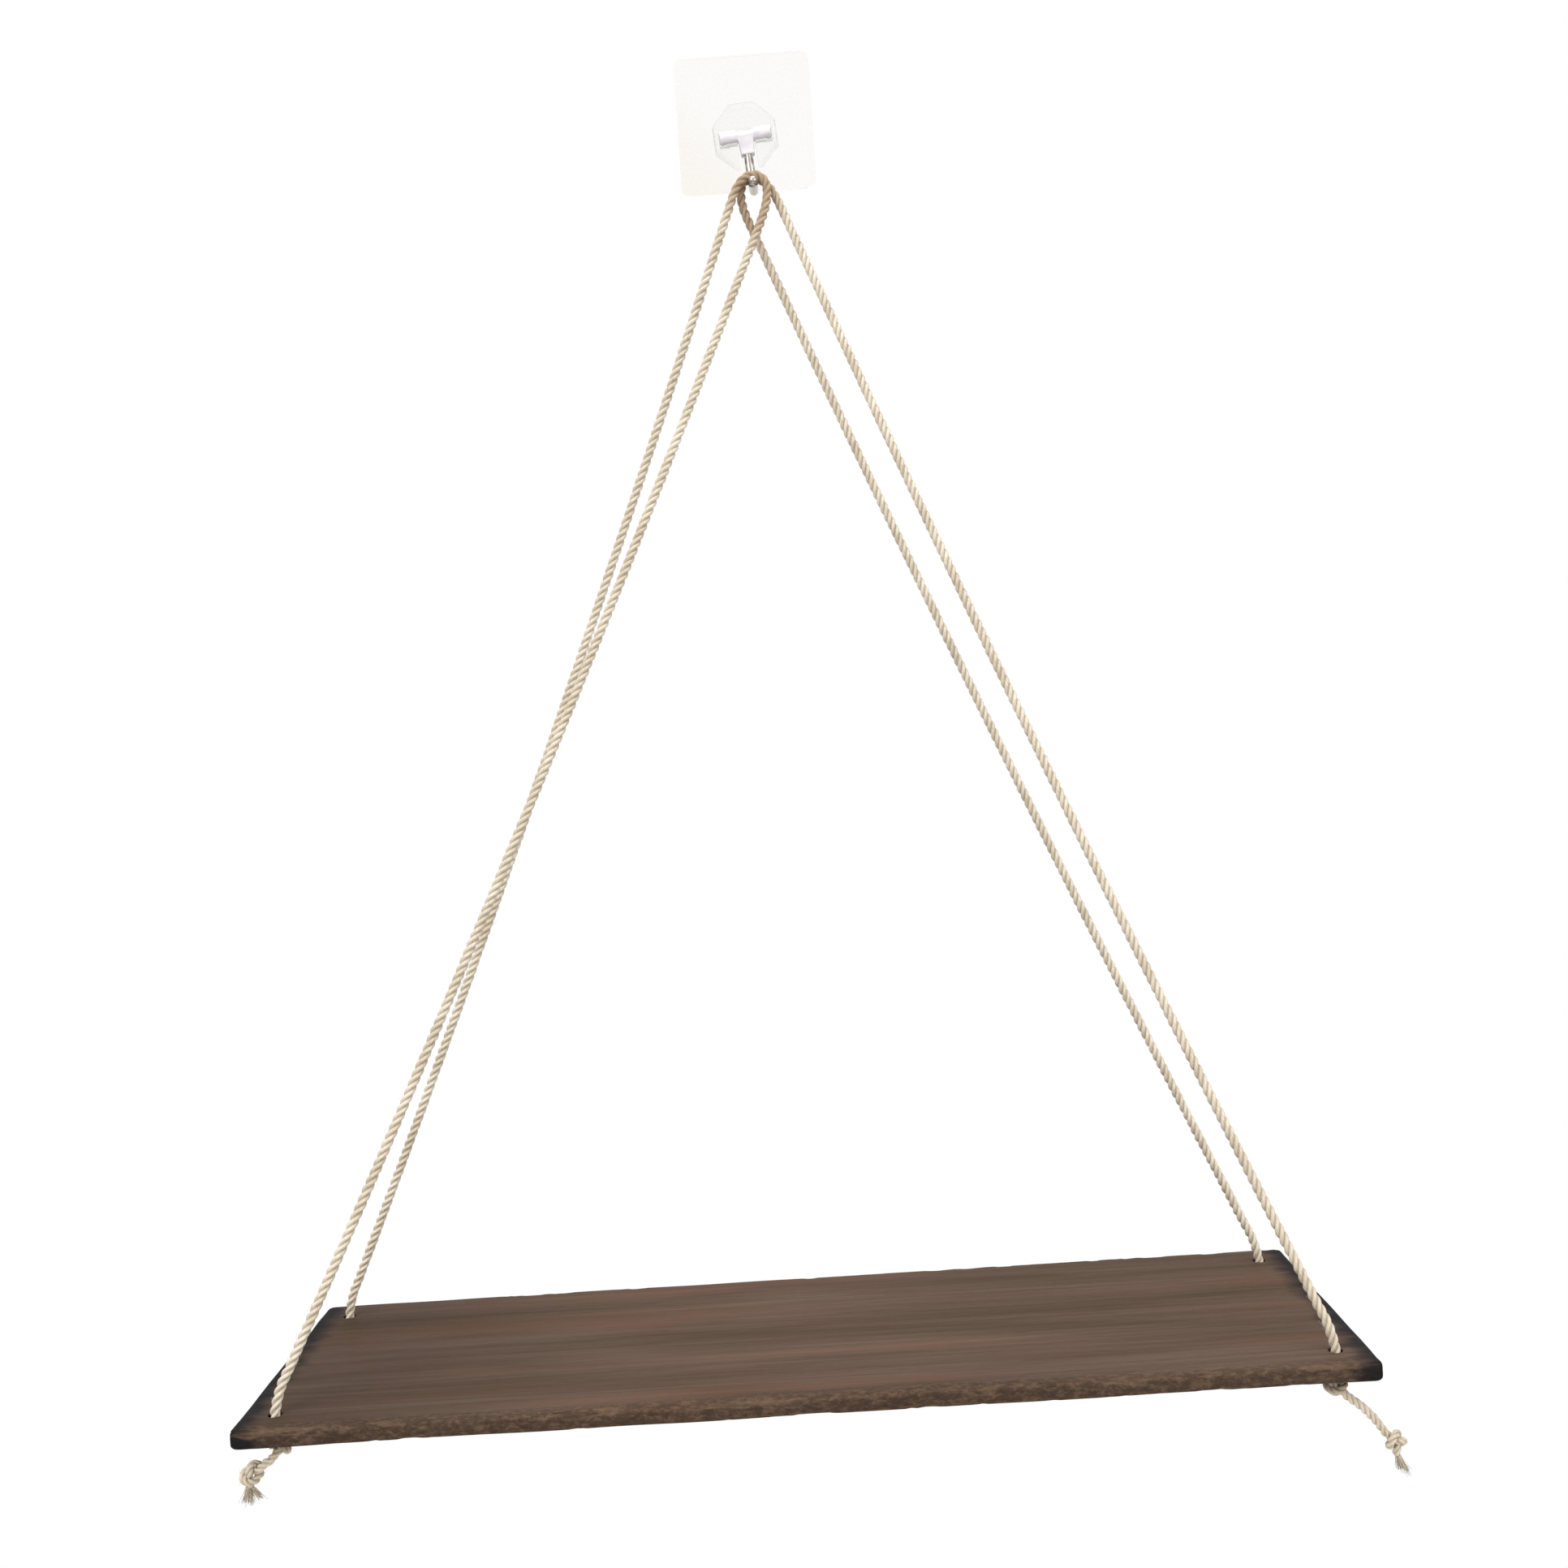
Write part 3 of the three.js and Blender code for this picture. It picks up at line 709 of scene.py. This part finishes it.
# %% Plank: block, corners and arrises
board_length = 430 * mm
board_depth = 130 * mm
board_wall_gap = 2 * mm
board_back_y = -board_wall_gap
board_front_y = -board_wall_gap - board_depth
board_left_x = board_middle_x - board_length / 2
board_right_x = board_middle_x + board_length / 2
corner_radius = 3.5 * mm
arris_radius = 1.6 * mm
plank = add_block("plank", (board_left_x, board_front_y, board_under_z),
                  (board_right_x, board_back_y, board_top_z))
close = 0.01 * mm
pick(plank, "EDGE", lambda a, b: abs(a.z - b.z) > board_thickness / 2)
bpy.ops.mesh.bevel(offset=corner_radius, segments=6, affect="EDGES")
pick(plank, "EDGE", lambda a, b: abs(a.z - b.z) < close)
bpy.ops.mesh.bevel(offset=arris_radius, segments=5, affect="EDGES")

# %% Plank: the net of faces
fine_gap = 2.2 * mm
wide_gap = 11 * mm
edge_steps = [0.6 * mm * k for k in range(4, 13)]
rows_x = list(np.arange(board_left_x + 4 * mm, board_right_x - 4 * mm, fine_gap))
rows_y = [board_front_y + d for d in edge_steps]
rows_y += list(np.arange(board_front_y + 14 * mm, board_back_y - 10 * mm, wide_gap))
rows_y += [board_back_y - d for d in edge_steps]
rows_z = [board_under_z + board_thickness * k / 9 for k in range(2, 8)]
bpy.ops.mesh.select_mode(type="FACE")
cut_across(0, rows_x)
cut_across(1, rows_y)
cut_across(2, rows_z)
bpy.ops.object.mode_set(mode="OBJECT")
print("plank", len(plank.data.polygons), "faces")

# %% [markdown]
# The holes are drilled with a bit that eases their rims, so each cutter is a cylinder whose
# ends flare. A Boolean modifier takes it out of the plank.

# %% Plank: holes
hole_radius = 4.8 / 2 * mm
rim_ease = 0.4 * mm


def add_drill(x, y):
    """A cylinder through the plank whose two ends open out by the rim's ease."""
    bpy.ops.object.select_all(action="DESELECT")
    straight = board_thickness - 2 * rim_ease
    bpy.ops.mesh.primitive_cylinder_add(
        vertices=40, radius=hole_radius, depth=straight,
        location=(x, y, board_under_z + board_thickness / 2))
    drill = settle("drill")
    flare = (hole_radius + 2 * rim_ease) / hole_radius
    for way in (-1, 1):
        pick(drill, "FACE", lambda middle, normal: normal.z * way > 0.9)
        bpy.ops.mesh.extrude_region_move(
            TRANSFORM_OT_translate={"value": (0, 0, way * 2 * rim_ease)})
        bpy.ops.transform.resize(value=(flare, flare, 1), center_override=(x, y, 0))
    bpy.ops.object.mode_set(mode="OBJECT")
    return drill


def combine(piece, tool, operation):
    """Cuts another piece out of one, or joins it on, and throws that other piece away."""
    change = piece.modifiers.new("combine", "BOOLEAN")
    change.operation = operation
    change.solver = "EXACT"
    change.object = tool
    select_only(piece)
    bpy.ops.object.modifier_apply(modifier=change.name)
    bpy.data.objects.remove(tool, do_unlink=True)


for side in (-1, 1):
    for y in (front_hole_y, back_hole_y):
        combine(plank, add_drill(hole_x(side), y), "DIFFERENCE")
print("plank after drilling", len(plank.data.polygons), "faces")

# %% [markdown]
# Each corner of the net near an arris is pushed into the wood by a noise that is long along
# the grain, and deeper where a chip has come off. How deep it went is kept as an attribute, so
# the finish can show bare wood.

# %% Plank: wear
wear_reach = 4.6 * mm
rub_depth = 0.8 * mm
chip_depth = 0.8 * mm
chip_length = 11 * mm
chip_height = 3 * mm
chip_onset = 0.16
chip_full = 0.41
rub_length = 40 * mm
rub_height = 9 * mm


def soft_step(value, low, high):
    share = min(1.0, max(0.0, (value - low) / (high - low)))
    return share * share * (3 - 2 * share)


def wear_at(place):
    """How far the wood is worn here, and the way in which it went."""
    edges = []
    for y, way_y, much in ((board_front_y, 1, 1.0), (board_back_y, -1, 0.4)):
        for z, way_z, share in ((board_top_z, -1, 1.0), (board_under_z, 1, 0.55)):
            edges.append((math.hypot(place.y - y, place.z - z), Vector((0, way_y, way_z)),
                          much * share))
    for x, way_x in ((board_left_x, 1), (board_right_x, -1)):
        for z, way_z, share in ((board_top_z, -1, 0.3), (board_under_z, 1, 0.15)):
            edges.append((math.hypot(place.x - x, place.z - z), Vector((way_x, 0, way_z)), share))
    away, way, share = min(edges, key=lambda edge: edge[0])
    near = soft_step(wear_reach - away, 0, wear_reach)
    broad = Vector((place.x / rub_length, place.y / rub_height, place.z / rub_height))
    rubbed_and_shaded = noise.noise(broad)
    grain = Vector((place.x / chip_length, place.y / chip_height, place.z / chip_height))
    chipped = soft_step(noise.fractal(grain, 1.0, 2.0, 3), chip_onset, chip_full)
    depth = near * share * (rub_depth * (0.5 + rubbed_and_shaded) + chip_depth * chipped)
    return max(0.0, depth), way.normalized()


worn = plank.data.attributes.new("worn", "FLOAT", "POINT")
for corner in plank.data.vertices:
    depth, way = wear_at(corner.co)
    corner.co += way * depth
    worn.data[corner.index].value = depth / chip_depth
print("deepest wear", round(max(w.value for w in worn.data) * chip_depth / mm, 2), "mm")

# %% [markdown]
# ## Stained wood
# The plank is pine, stained a dark grey brown with a dull oil finish. Its ends are scorched
# almost black. The front arris was brushed, which left marks 2 to 4 mm long in it. The grain
# runs along the plank: broad tones about 20 mm wide, growth lines 3 mm apart and pores under
# half a millimetre.

# %% Wood material
wood, tree, shader = new_material("dark_stained_pine", {
    "Roughness": 0.7, "IOR": 1.45, "Specular IOR Level": 0.05})
wood_place = object_place(tree)


def grain(length, width, detail, rough, distortion=0.0):
    """Noise stretched along the plank: length and width are the size of one streak."""
    sizes = (length, width, width)
    return noise_at(wood.node_tree, wood_place, sizes, detail, rough, distortion)


broad = grain(170 * mm, 20 * mm, 3.0, 0.55, 0.4)
growth_lines = grain(130 * mm, 3 * mm, 4.0, 0.6, 0.8)
pores = grain(7 * mm, 0.4 * mm, 3.0, 0.65)
tone = mix(tree, "FLOAT", 0.22, mix(tree, "FLOAT", 0.45, broad, growth_lines), pores)
stained = ramp(tree, tone, [
    (0.34, "46372d"), (0.45, "4f3f33"), (0.54, "58473c"), (0.66, "635244")])
warm = remap(tree, grain(240 * mm, 16 * mm, 2.0, 0.5), 0.5, 0.68, 0.0, 0.5)
stain_and_shade = mix(tree, "RGBA", warm, stained, colour("614638"))
second_coat_x = (-190 * mm, -70 * mm)
second_coat = remap(tree, split(tree, wood_place)["X"], *second_coat_x, 0.4, 0.0)
stain_and_shade = mix(tree, "RGBA", second_coat, stain_and_shade, colour("2f241d"))

# %% Wood material: ends and arrises
soak_reach = 16 * mm
side_soak_reach = 6 * mm
scorch_from = board_length / 2 - 4.5 * mm
scorch_full = board_length / 2 + 5.5 * mm
axes = split(tree, wood_place)
from_middle = maths(tree, "ABSOLUTE", maths(tree, "SUBTRACT", axes["X"], board_middle_x))
cloudy = grain(20 * mm, 9 * mm, 3.0, 0.6)
soaked_at = maths(tree, "MULTIPLY_ADD", cloudy, soak_reach, from_middle)
facing = split(tree, add_node(tree, "ShaderNodeNewGeometry").outputs["Normal"])
# Faces that turn away from up (front, back, lower arrises, underside) are painted darker as painted
# shade; the same share lets the scorch reach further in on them.
side_shade_and_scorch = remap(tree, facing["Z"], -0.1, 0.75, 0.6, 0.0)
stain_and_shade = mix(tree, "RGBA", side_shade_and_scorch, stain_and_shade, colour("3f332b"))
scorched_at = maths(tree, "MULTIPLY_ADD", side_shade_and_scorch, side_soak_reach, soaked_at)
scorched = remap(tree, scorched_at, scorch_from, scorch_full, 0.0, 0.9)
brushed = ramp(tree, grain(3 * mm, 1.6 * mm, 3.0, 0.7, 0.3), [
    (0.36, "2c221b"), (0.5, "45362a"), (0.64, "685342")])
front_band = remap(tree, axes["Y"], board_front_y + 2 * mm, board_front_y + 9 * mm, 0.5, 0.0)
stain_and_shade = mix(tree, "RGBA", front_band, stain_and_shade, brushed)
stain_and_shade = mix(tree, "RGBA", scorched, stain_and_shade, colour("15161a"))
end_face = remap(tree, maths(tree, "ABSOLUTE", facing["X"]), 0.35, 0.8, 0.0, 0.9)
stain_and_shade = mix(tree, "RGBA", end_face, stain_and_shade, colour("141110"))
worn_away = add_node(tree, "ShaderNodeAttribute", attribute_name="worn").outputs["Fac"]
torn = grain(9 * mm, 1.1 * mm, 4.0, 0.7)
bare = remap(tree, maths(tree, "MULTIPLY_ADD", torn, 0.9, worn_away), 0.85, 1.2, 0.0, 0.25)
bare_wood = ramp(tree, torn, [(0.35, "64503f"), (0.65, "866d56")])
tree.links.new(mix(tree, "RGBA", bare, stain_and_shade, bare_wood), shader.inputs["Base Color"])
add_relief(tree, shader, mix(tree, "FLOAT", 0.5, growth_lines, pores), 0.55, 0.25 * mm)
tree.links.new(remap(tree, tone, 0.3, 0.7, 0.72, 0.52), shader.inputs["Roughness"])

plank.data.materials.append(wood)
bpy.ops.object.shade_smooth_by_angle(angle=math.radians(35))
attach(plank, "shelf")
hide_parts("shelf_board")

# %% [markdown]
# ## The clear film and its adhesive
# The hook is held by a thin square of clear plastic with rounded corners, stuck down by a soft
# clear layer. It is a plane whose corners are rounded, given its thickness by an extrusion and
# a tiny bevel that catches the light along its edge. Its lower right corner has begun to lift.

# %% Film and adhesive
film_side = 60 * mm
film_corner = 4 * mm
adhesive_thickness = 0.5 * mm
film_thickness = 0.6 * mm
skin_gap = 0.02 * mm
lift_reach = 26 * mm
lift_height = 1.6 * mm


def lift_at(place):
    """How far the film has come off the wall here, most at its lower right corner."""
    corner = Vector((film_side / 2, 0, -film_side / 2))
    away = math.hypot(place.x - corner.x, place.z - corner.z)
    return lift_height * soft_step(lift_reach - away, 0, lift_reach) ** 1.5


def add_sheet(name, side, back_y, thickness, edge):
    """A square sheet on the wall with round corners, lifted where the film has come loose."""
    bpy.ops.object.select_all(action="DESELECT")
    bpy.ops.mesh.primitive_plane_add(size=side, location=(0, back_y, 0),
                                     rotation=(math.pi / 2, 0, 0))
    sheet = settle(name)
    pick(sheet, "VERT", lambda place: True)
    bpy.ops.mesh.bevel(offset=film_corner, segments=8, affect="VERTICES")
    bpy.ops.mesh.select_all(action="SELECT")
    bpy.ops.mesh.extrude_region_move(TRANSFORM_OT_translate={"value": (0, -thickness, 0)})
    bpy.ops.mesh.select_all(action="SELECT")
    bpy.ops.mesh.normals_make_consistent(inside=False)
    front = back_y - thickness
    pick(sheet, "EDGE", lambda a, b: abs(a.y - front) < close and abs(b.y - front) < close)
    bpy.ops.mesh.bevel(offset=edge, segments=2, affect="EDGES")
    bpy.ops.mesh.select_mode(type="FACE")
    steps = np.linspace(-side / 2, side / 2, 26)[1:-1]
    cut_across(0, steps)
    cut_across(2, steps)
    bpy.ops.object.mode_set(mode="OBJECT")
    for corner in sheet.data.vertices:
        corner.co.y -= lift_at(corner.co)
    bpy.ops.object.shade_smooth_by_angle(angle=math.radians(30))
    return sheet


film = add_sheet("film", film_side, -adhesive_thickness - skin_gap,
                 film_thickness - 2 * skin_gap, 0.12 * mm)
adhesive = add_sheet("adhesive", film_side - 1 * mm, -skin_gap,
                     adhesive_thickness - skin_gap, 0.05 * mm)

# %% [markdown]
# Clear PVC film: smooth and almost without colour. The adhesive under it
# is cloudier, with small specks of trapped air, which only change its roughness, and its colour
# turns a little warmer towards its lower left.

# %% Clear materials
clear_film, tree, shader = new_material("clear_pvc_film", {
    "Base Color": colour("f9f8f7"), "Roughness": 0.04, "IOR": 1.18,
    "Transmission Weight": 1.0})
ripple_size = 9 * mm
ripples = noise_at(tree, object_place(tree), [ripple_size] * 3)
add_relief(tree, shader, ripples, 0.25, 0.1 * mm)

clear_adhesive, tree, shader = new_material("clear_acrylic_adhesive", {
    "Roughness": 0.15, "IOR": 1.25, "Transmission Weight": 1.0})
bubble_size = 1.6 * mm
place = object_place(tree)
bubbles = add_node(tree, "ShaderNodeTexVoronoi", {
    "Scale": 1 / bubble_size, "Vector": place}).outputs["Distance"]
tree.links.new(remap(tree, bubbles, 0.1, 0.3, 0.4, 0.12), shader.inputs["Roughness"])
# The adhesive's colour turns a little warmer towards its lower left.
to_lower_left = vector_maths(tree, "DOT_PRODUCT", place, (-1, 0, -1), result="Value")
warmer_to_lower_left = remap(tree, to_lower_left, 5 * mm, 50 * mm)
tree.links.new(mix(tree, "RGBA", warmer_to_lower_left, colour("fefefd"), colour("fcf9f4")),
               shader.inputs["Base Color"])
for piece, material, node, slot in (
        (film, clear_film, "hook_film", "clear_plastic"),
        (adhesive, clear_adhesive, "adhesive_layer", "adhesive")):
    piece.data.materials.append(material)
    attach(piece, "root")
    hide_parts(node)

# %% [markdown]
# ## The clear boss
# The boss is an eight-sided block of clear plastic, moulded with a broad shoulder and a
# smaller flat front. Inside it is the pocket where the swivel's crossbar turns, open below
# through a slot. The frame's own solid has that shape with sharp edges, so a copy of it is
# merged, its flat triangles are joined to whole faces, and its edges are rounded as a mould
# leaves them.

# %% Boss
def copy_node(node, name):
    """A merged copy of a frame node, with whole faces in place of flat triangles."""
    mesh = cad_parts[node].data.copy()
    mesh.name = name
    mesh.materials.clear()
    piece = bpy.data.objects.new(name, mesh)
    bpy.context.collection.objects.link(piece)
    select_only(piece)
    bpy.ops.object.mode_set(mode="EDIT")
    bpy.ops.mesh.select_all(action="SELECT")
    bpy.ops.mesh.remove_doubles(threshold=0.002 * mm)
    bpy.ops.mesh.dissolve_limited(angle_limit=math.radians(2))
    bpy.ops.object.mode_set(mode="OBJECT")
    return piece


def round_edges(piece, width, segments, sharper_than):
    """Rounds the edges that are sharper than an angle, then shades the rounding smooth."""
    rounding = piece.modifiers.new("rounding", "BEVEL")
    rounding.width = width
    rounding.segments = segments
    rounding.limit_method = "ANGLE"
    rounding.angle_limit = math.radians(sharper_than)
    select_only(piece)
    bpy.ops.object.modifier_apply(modifier="rounding")
    bpy.ops.object.shade_smooth_by_angle(angle=math.radians(25))


boss = copy_node("hook_boss", "boss")
for corner in boss.data.vertices:
    corner.co.y = min(corner.co.y, -adhesive_thickness - film_thickness - skin_gap)
round_edges(boss, 0.35 * mm, 2, 28)
clear_boss, tree, shader = new_material("clear_moulded_polycarbonate", {
    "Roughness": 0.2, "IOR": 1.14, "Transmission Weight": 1.0})
flow_size = 4 * mm
flow = noise_at(tree, object_place(tree), [flow_size] * 3, 1.0)
add_relief(tree, shader, flow, 0.15, 0.05 * mm)
# The boss is painted grey where the view grazes its faces, a painted shade standing in for the
# darker refraction that its low IOR leaves out.
edge_shade_share = add_node(tree, "ShaderNodeLayerWeight", {"Blend": 0.5}).outputs["Facing"]
tree.links.new(ramp(tree, edge_shade_share, [(0.5, "fdfcfc"), (0.85, "e6e4e3")]),
               shader.inputs["Base Color"])
boss.data.materials.append(clear_boss)
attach(boss, "root")
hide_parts("hook_boss")
print("boss", len(boss.data.polygons), "faces")

# %% [markdown]
# ## The swivel
# The swivel is a T of pale grey plastic. Its crossbar is a cylinder, and its stem a flat block
# that tapers down to the wire. The two are joined by a Boolean and rounded.

# %% Swivel
lean = (Matrix.Translation(pivot) @ Matrix.Rotation(-hook_lean, 4, "Y")
        @ Matrix.Translation(-pivot))
bar_radius = 2.7 * mm
bar_length = 22 * mm
stem_width = 7 * mm
stem_end_width = 6 * mm
stem_length = 8.5 * mm
stem_thickness_share = 0.92
bpy.ops.object.select_all(action="DESELECT")
bpy.ops.mesh.primitive_cylinder_add(vertices=64, radius=bar_radius, depth=bar_length,
                                    location=pivot, rotation=(0, math.pi / 2, 0))
swivel = settle("swivel")
round_edges(swivel, 0.5 * mm, 3, 60)
half = Vector((stem_width / 2, stem_thickness_share * bar_radius, 0))
stem = add_block("stem", pivot - half - Vector((0, 0, stem_length)), pivot + half)
pick(stem, "FACE", lambda middle, normal: normal.z < -0.9)
taper = stem_end_width / stem_width
bpy.ops.transform.resize(value=(taper, 1, 1), center_override=pivot)
bpy.ops.object.mode_set(mode="OBJECT")
round_edges(stem, 0.6 * mm, 3, 60)
combine(swivel, stem, "UNION")
bpy.ops.object.shade_smooth_by_angle(angle=math.radians(30))
swivel.data.transform(lean)

grey_plastic, tree, shader = new_material("pale_grey_polypropylene", {
    "Roughness": 0.32, "IOR": 1.49,
    "Subsurface Weight": 0.25, "Subsurface Radius": (0.002, 0.002, 0.002),
    "Subsurface Scale": 1.0})
cloud_size = 5 * mm
clouds = noise_at(tree, object_place(tree), [cloud_size] * 3)
tree.links.new(ramp(tree, clouds, [(0.35, "e6e2e8"), (0.65, "f4f2f5")]),
               shader.inputs["Base Color"])
swivel.data.materials.append(grey_plastic)
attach(swivel, "hook")
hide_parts("hook_swivel")
print("swivel", len(swivel.data.polygons), "faces")

# %% [markdown]
# ## The steel hook
# The wire is bent from 4 mm drawn steel. It is made as it is bent: a round section is drawn
# straight down, spun round the first bend, drawn forward under the twine, spun up at the tip,
# and closed by a dome.

# %% Wire
back_bend_radius = 7 * mm
seat_back_y = pivot.y - back_bend_radius
seat_front_y = -20.1 * mm
upright_seat_z = pivot.z - wire_reach
tip_bend_radius = 4 * mm
tip_bend = math.radians(30)
wire_in_stem = 6 * mm
wire_top_z = pivot.z - stem_length + wire_in_stem - fit_gap
wire_sides = 32
bpy.ops.object.select_all(action="DESELECT")
bpy.ops.mesh.primitive_circle_add(vertices=wire_sides, radius=wire_radius, fill_type="NGON",
                                  location=(0, pivot.y, wire_top_z))
wire = settle("wire")
bpy.ops.object.mode_set(mode="EDIT")
bpy.ops.mesh.select_mode(type="FACE")
bpy.ops.mesh.select_all(action="SELECT")


def draw_out(way, steps=6):
    """Pushes the selected end of the wire on by equal steps."""
    for _ in range(steps):
        bpy.ops.mesh.extrude_region_move(TRANSFORM_OT_translate={"value": Vector(way) / steps})


draw_out((0, 0, upright_seat_z + back_bend_radius - wire_top_z))
bpy.ops.mesh.spin(steps=20, angle=math.pi / 2, axis=(1, 0, 0), use_auto_merge=False,
                  center=(0, seat_back_y, upright_seat_z + back_bend_radius))
draw_out((0, seat_front_y - seat_back_y, 0))
bpy.ops.mesh.spin(steps=8, angle=tip_bend, axis=(1, 0, 0), use_auto_merge=False,
                  center=(0, seat_front_y, upright_seat_z + tip_bend_radius))
tip_way = Vector((0, -math.cos(tip_bend), math.sin(tip_bend)))
dome_steps = 7
for k in range(dome_steps):
    low, high = (math.pi / 2 * share / dome_steps * 0.96 for share in (k, k + 1))
    bpy.ops.mesh.extrude_region_move(TRANSFORM_OT_translate={
        "value": tip_way * wire_radius * (math.sin(high) - math.sin(low))})
    shrink = math.cos(high) / math.cos(low)
    bpy.ops.object.mode_set(mode="OBJECT")
    picked = [v.co for v in wire.data.vertices if v.select]
    tip_middle = sum(picked, Vector()) / len(picked)
    bpy.ops.object.mode_set(mode="EDIT")
    bpy.ops.transform.resize(value=(shrink, shrink, shrink), center_override=tip_middle)
bpy.ops.mesh.select_all(action="SELECT")
bpy.ops.mesh.remove_doubles(threshold=0.001 * mm)
bpy.ops.mesh.normals_make_consistent(inside=False)
bpy.ops.object.mode_set(mode="OBJECT")
bpy.ops.object.shade_smooth_by_angle(angle=math.radians(40))
wire.data.transform(lean)

# %% [markdown]
# Drawn stainless wire is a warm grey metal, smooth, with faint marks from the die.

# %% Steel material
steel, tree, shader = new_material("drawn_stainless_wire", {
    "Base Color": colour("b2ada5"), "Metallic": 1.0})
die_line = 0.2 * mm
line_length_on_wire = 6 * mm
drawn = noise_at(tree, object_place(tree), (die_line, line_length_on_wire, line_length_on_wire))
tree.links.new(remap(tree, drawn, 0.3, 0.7, 0.08, 0.16), shader.inputs["Roughness"])
wire.data.materials.append(steel)
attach(wire, "hook")
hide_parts("steel_hook")
print("wire", len(wire.data.polygons), "faces")

# %% [markdown]
# ## Floor and light
# The shelf hangs over a pale floor that fades into the white around it, in soft light from large
# lamps to the left, right and above. The world is plain white where the camera sees it. What
# lights the pieces gets darker to the sides and from below, so that steel and clear plastic
# have something to show.

# %% Floor
floor_z = -1.25
bpy.ops.object.select_all(action="DESELECT")
bpy.ops.mesh.primitive_plane_add(size=2.4, location=(0, 0, floor_z))
floor = bpy.context.object
floor.name = "floor"
pale, tree, shader = new_material("pale_floor", {
    "Base Color": colour("fcfcfb"), "Roughness": 0.9, "Specular IOR Level": 0.0})
from_centre = vector_maths(tree, "LENGTH", object_place(tree), result="Value")
fade_from = 0.5
fade_to = 1.1
gone = remap(tree, from_centre, fade_from, fade_to)
clear = add_node(tree, "ShaderNodeBsdfTransparent")
faded = add_node(tree, "ShaderNodeMixShader", {
    0: gone, 1: shader.outputs["BSDF"], 2: clear.outputs["BSDF"]})
surface = next(node for node in tree.nodes if node.type == "OUTPUT_MATERIAL")
tree.links.new(faded.outputs["Shader"], surface.inputs["Surface"])
floor.data.materials.append(pale)

# %% Lamps
look_at = Vector((0, -0.05, -0.3))
for name, spot, size, watts in (
        ("key", (-1.3, -1.5, 0.9), 1.4, 26),
        ("fill", (1.6, -1.2, 0.3), 1.4, 12),
        ("top", (0, -0.3, 1.6), 1.8, 16)):
    lamp_data = bpy.data.lights.new(name, "AREA")
    lamp_data.size = size
    lamp_data.energy = watts
    lamp = bpy.data.objects.new(name, lamp_data)
    lamp.location = spot
    lamp.rotation_euler = (look_at - lamp.location).to_track_quat("-Z", "Y").to_euler()
    bpy.context.collection.objects.link(lamp)

# %% World
world = bpy.data.worlds.new("studio")
bpy.context.scene.world = world
world.use_nodes = True
tree = world.node_tree
tree.nodes.clear()
direction = add_node(tree, "ShaderNodeTexCoord").outputs["Generated"]
axes = split(tree, direction)
from_sides = remap(tree, maths(tree, "ABSOLUTE", axes["X"]), 0.35, 1.0, 1.03, 0.5)
from_below = remap(tree, axes["Z"], -0.9, -0.1, 0.55, 1.0)
light = maths(tree, "MULTIPLY", from_sides, from_below)
white = add_node(tree, "ShaderNodeBackground", {"Color": (1, 1, 1, 1), "Strength": 1.0})
soft = add_node(tree, "ShaderNodeBackground", {"Color": (1, 1, 1, 1), "Strength": light})
seen = add_node(tree, "ShaderNodeLightPath").outputs["Is Camera Ray"]
either = add_node(tree, "ShaderNodeMixShader", {
    0: seen, 1: soft.outputs["Background"], 2: white.outputs["Background"]})
add_node(tree, "ShaderNodeOutputWorld", {"Surface": either.outputs["Shader"]})
bpy.context.scene.view_settings.view_transform = "Standard"
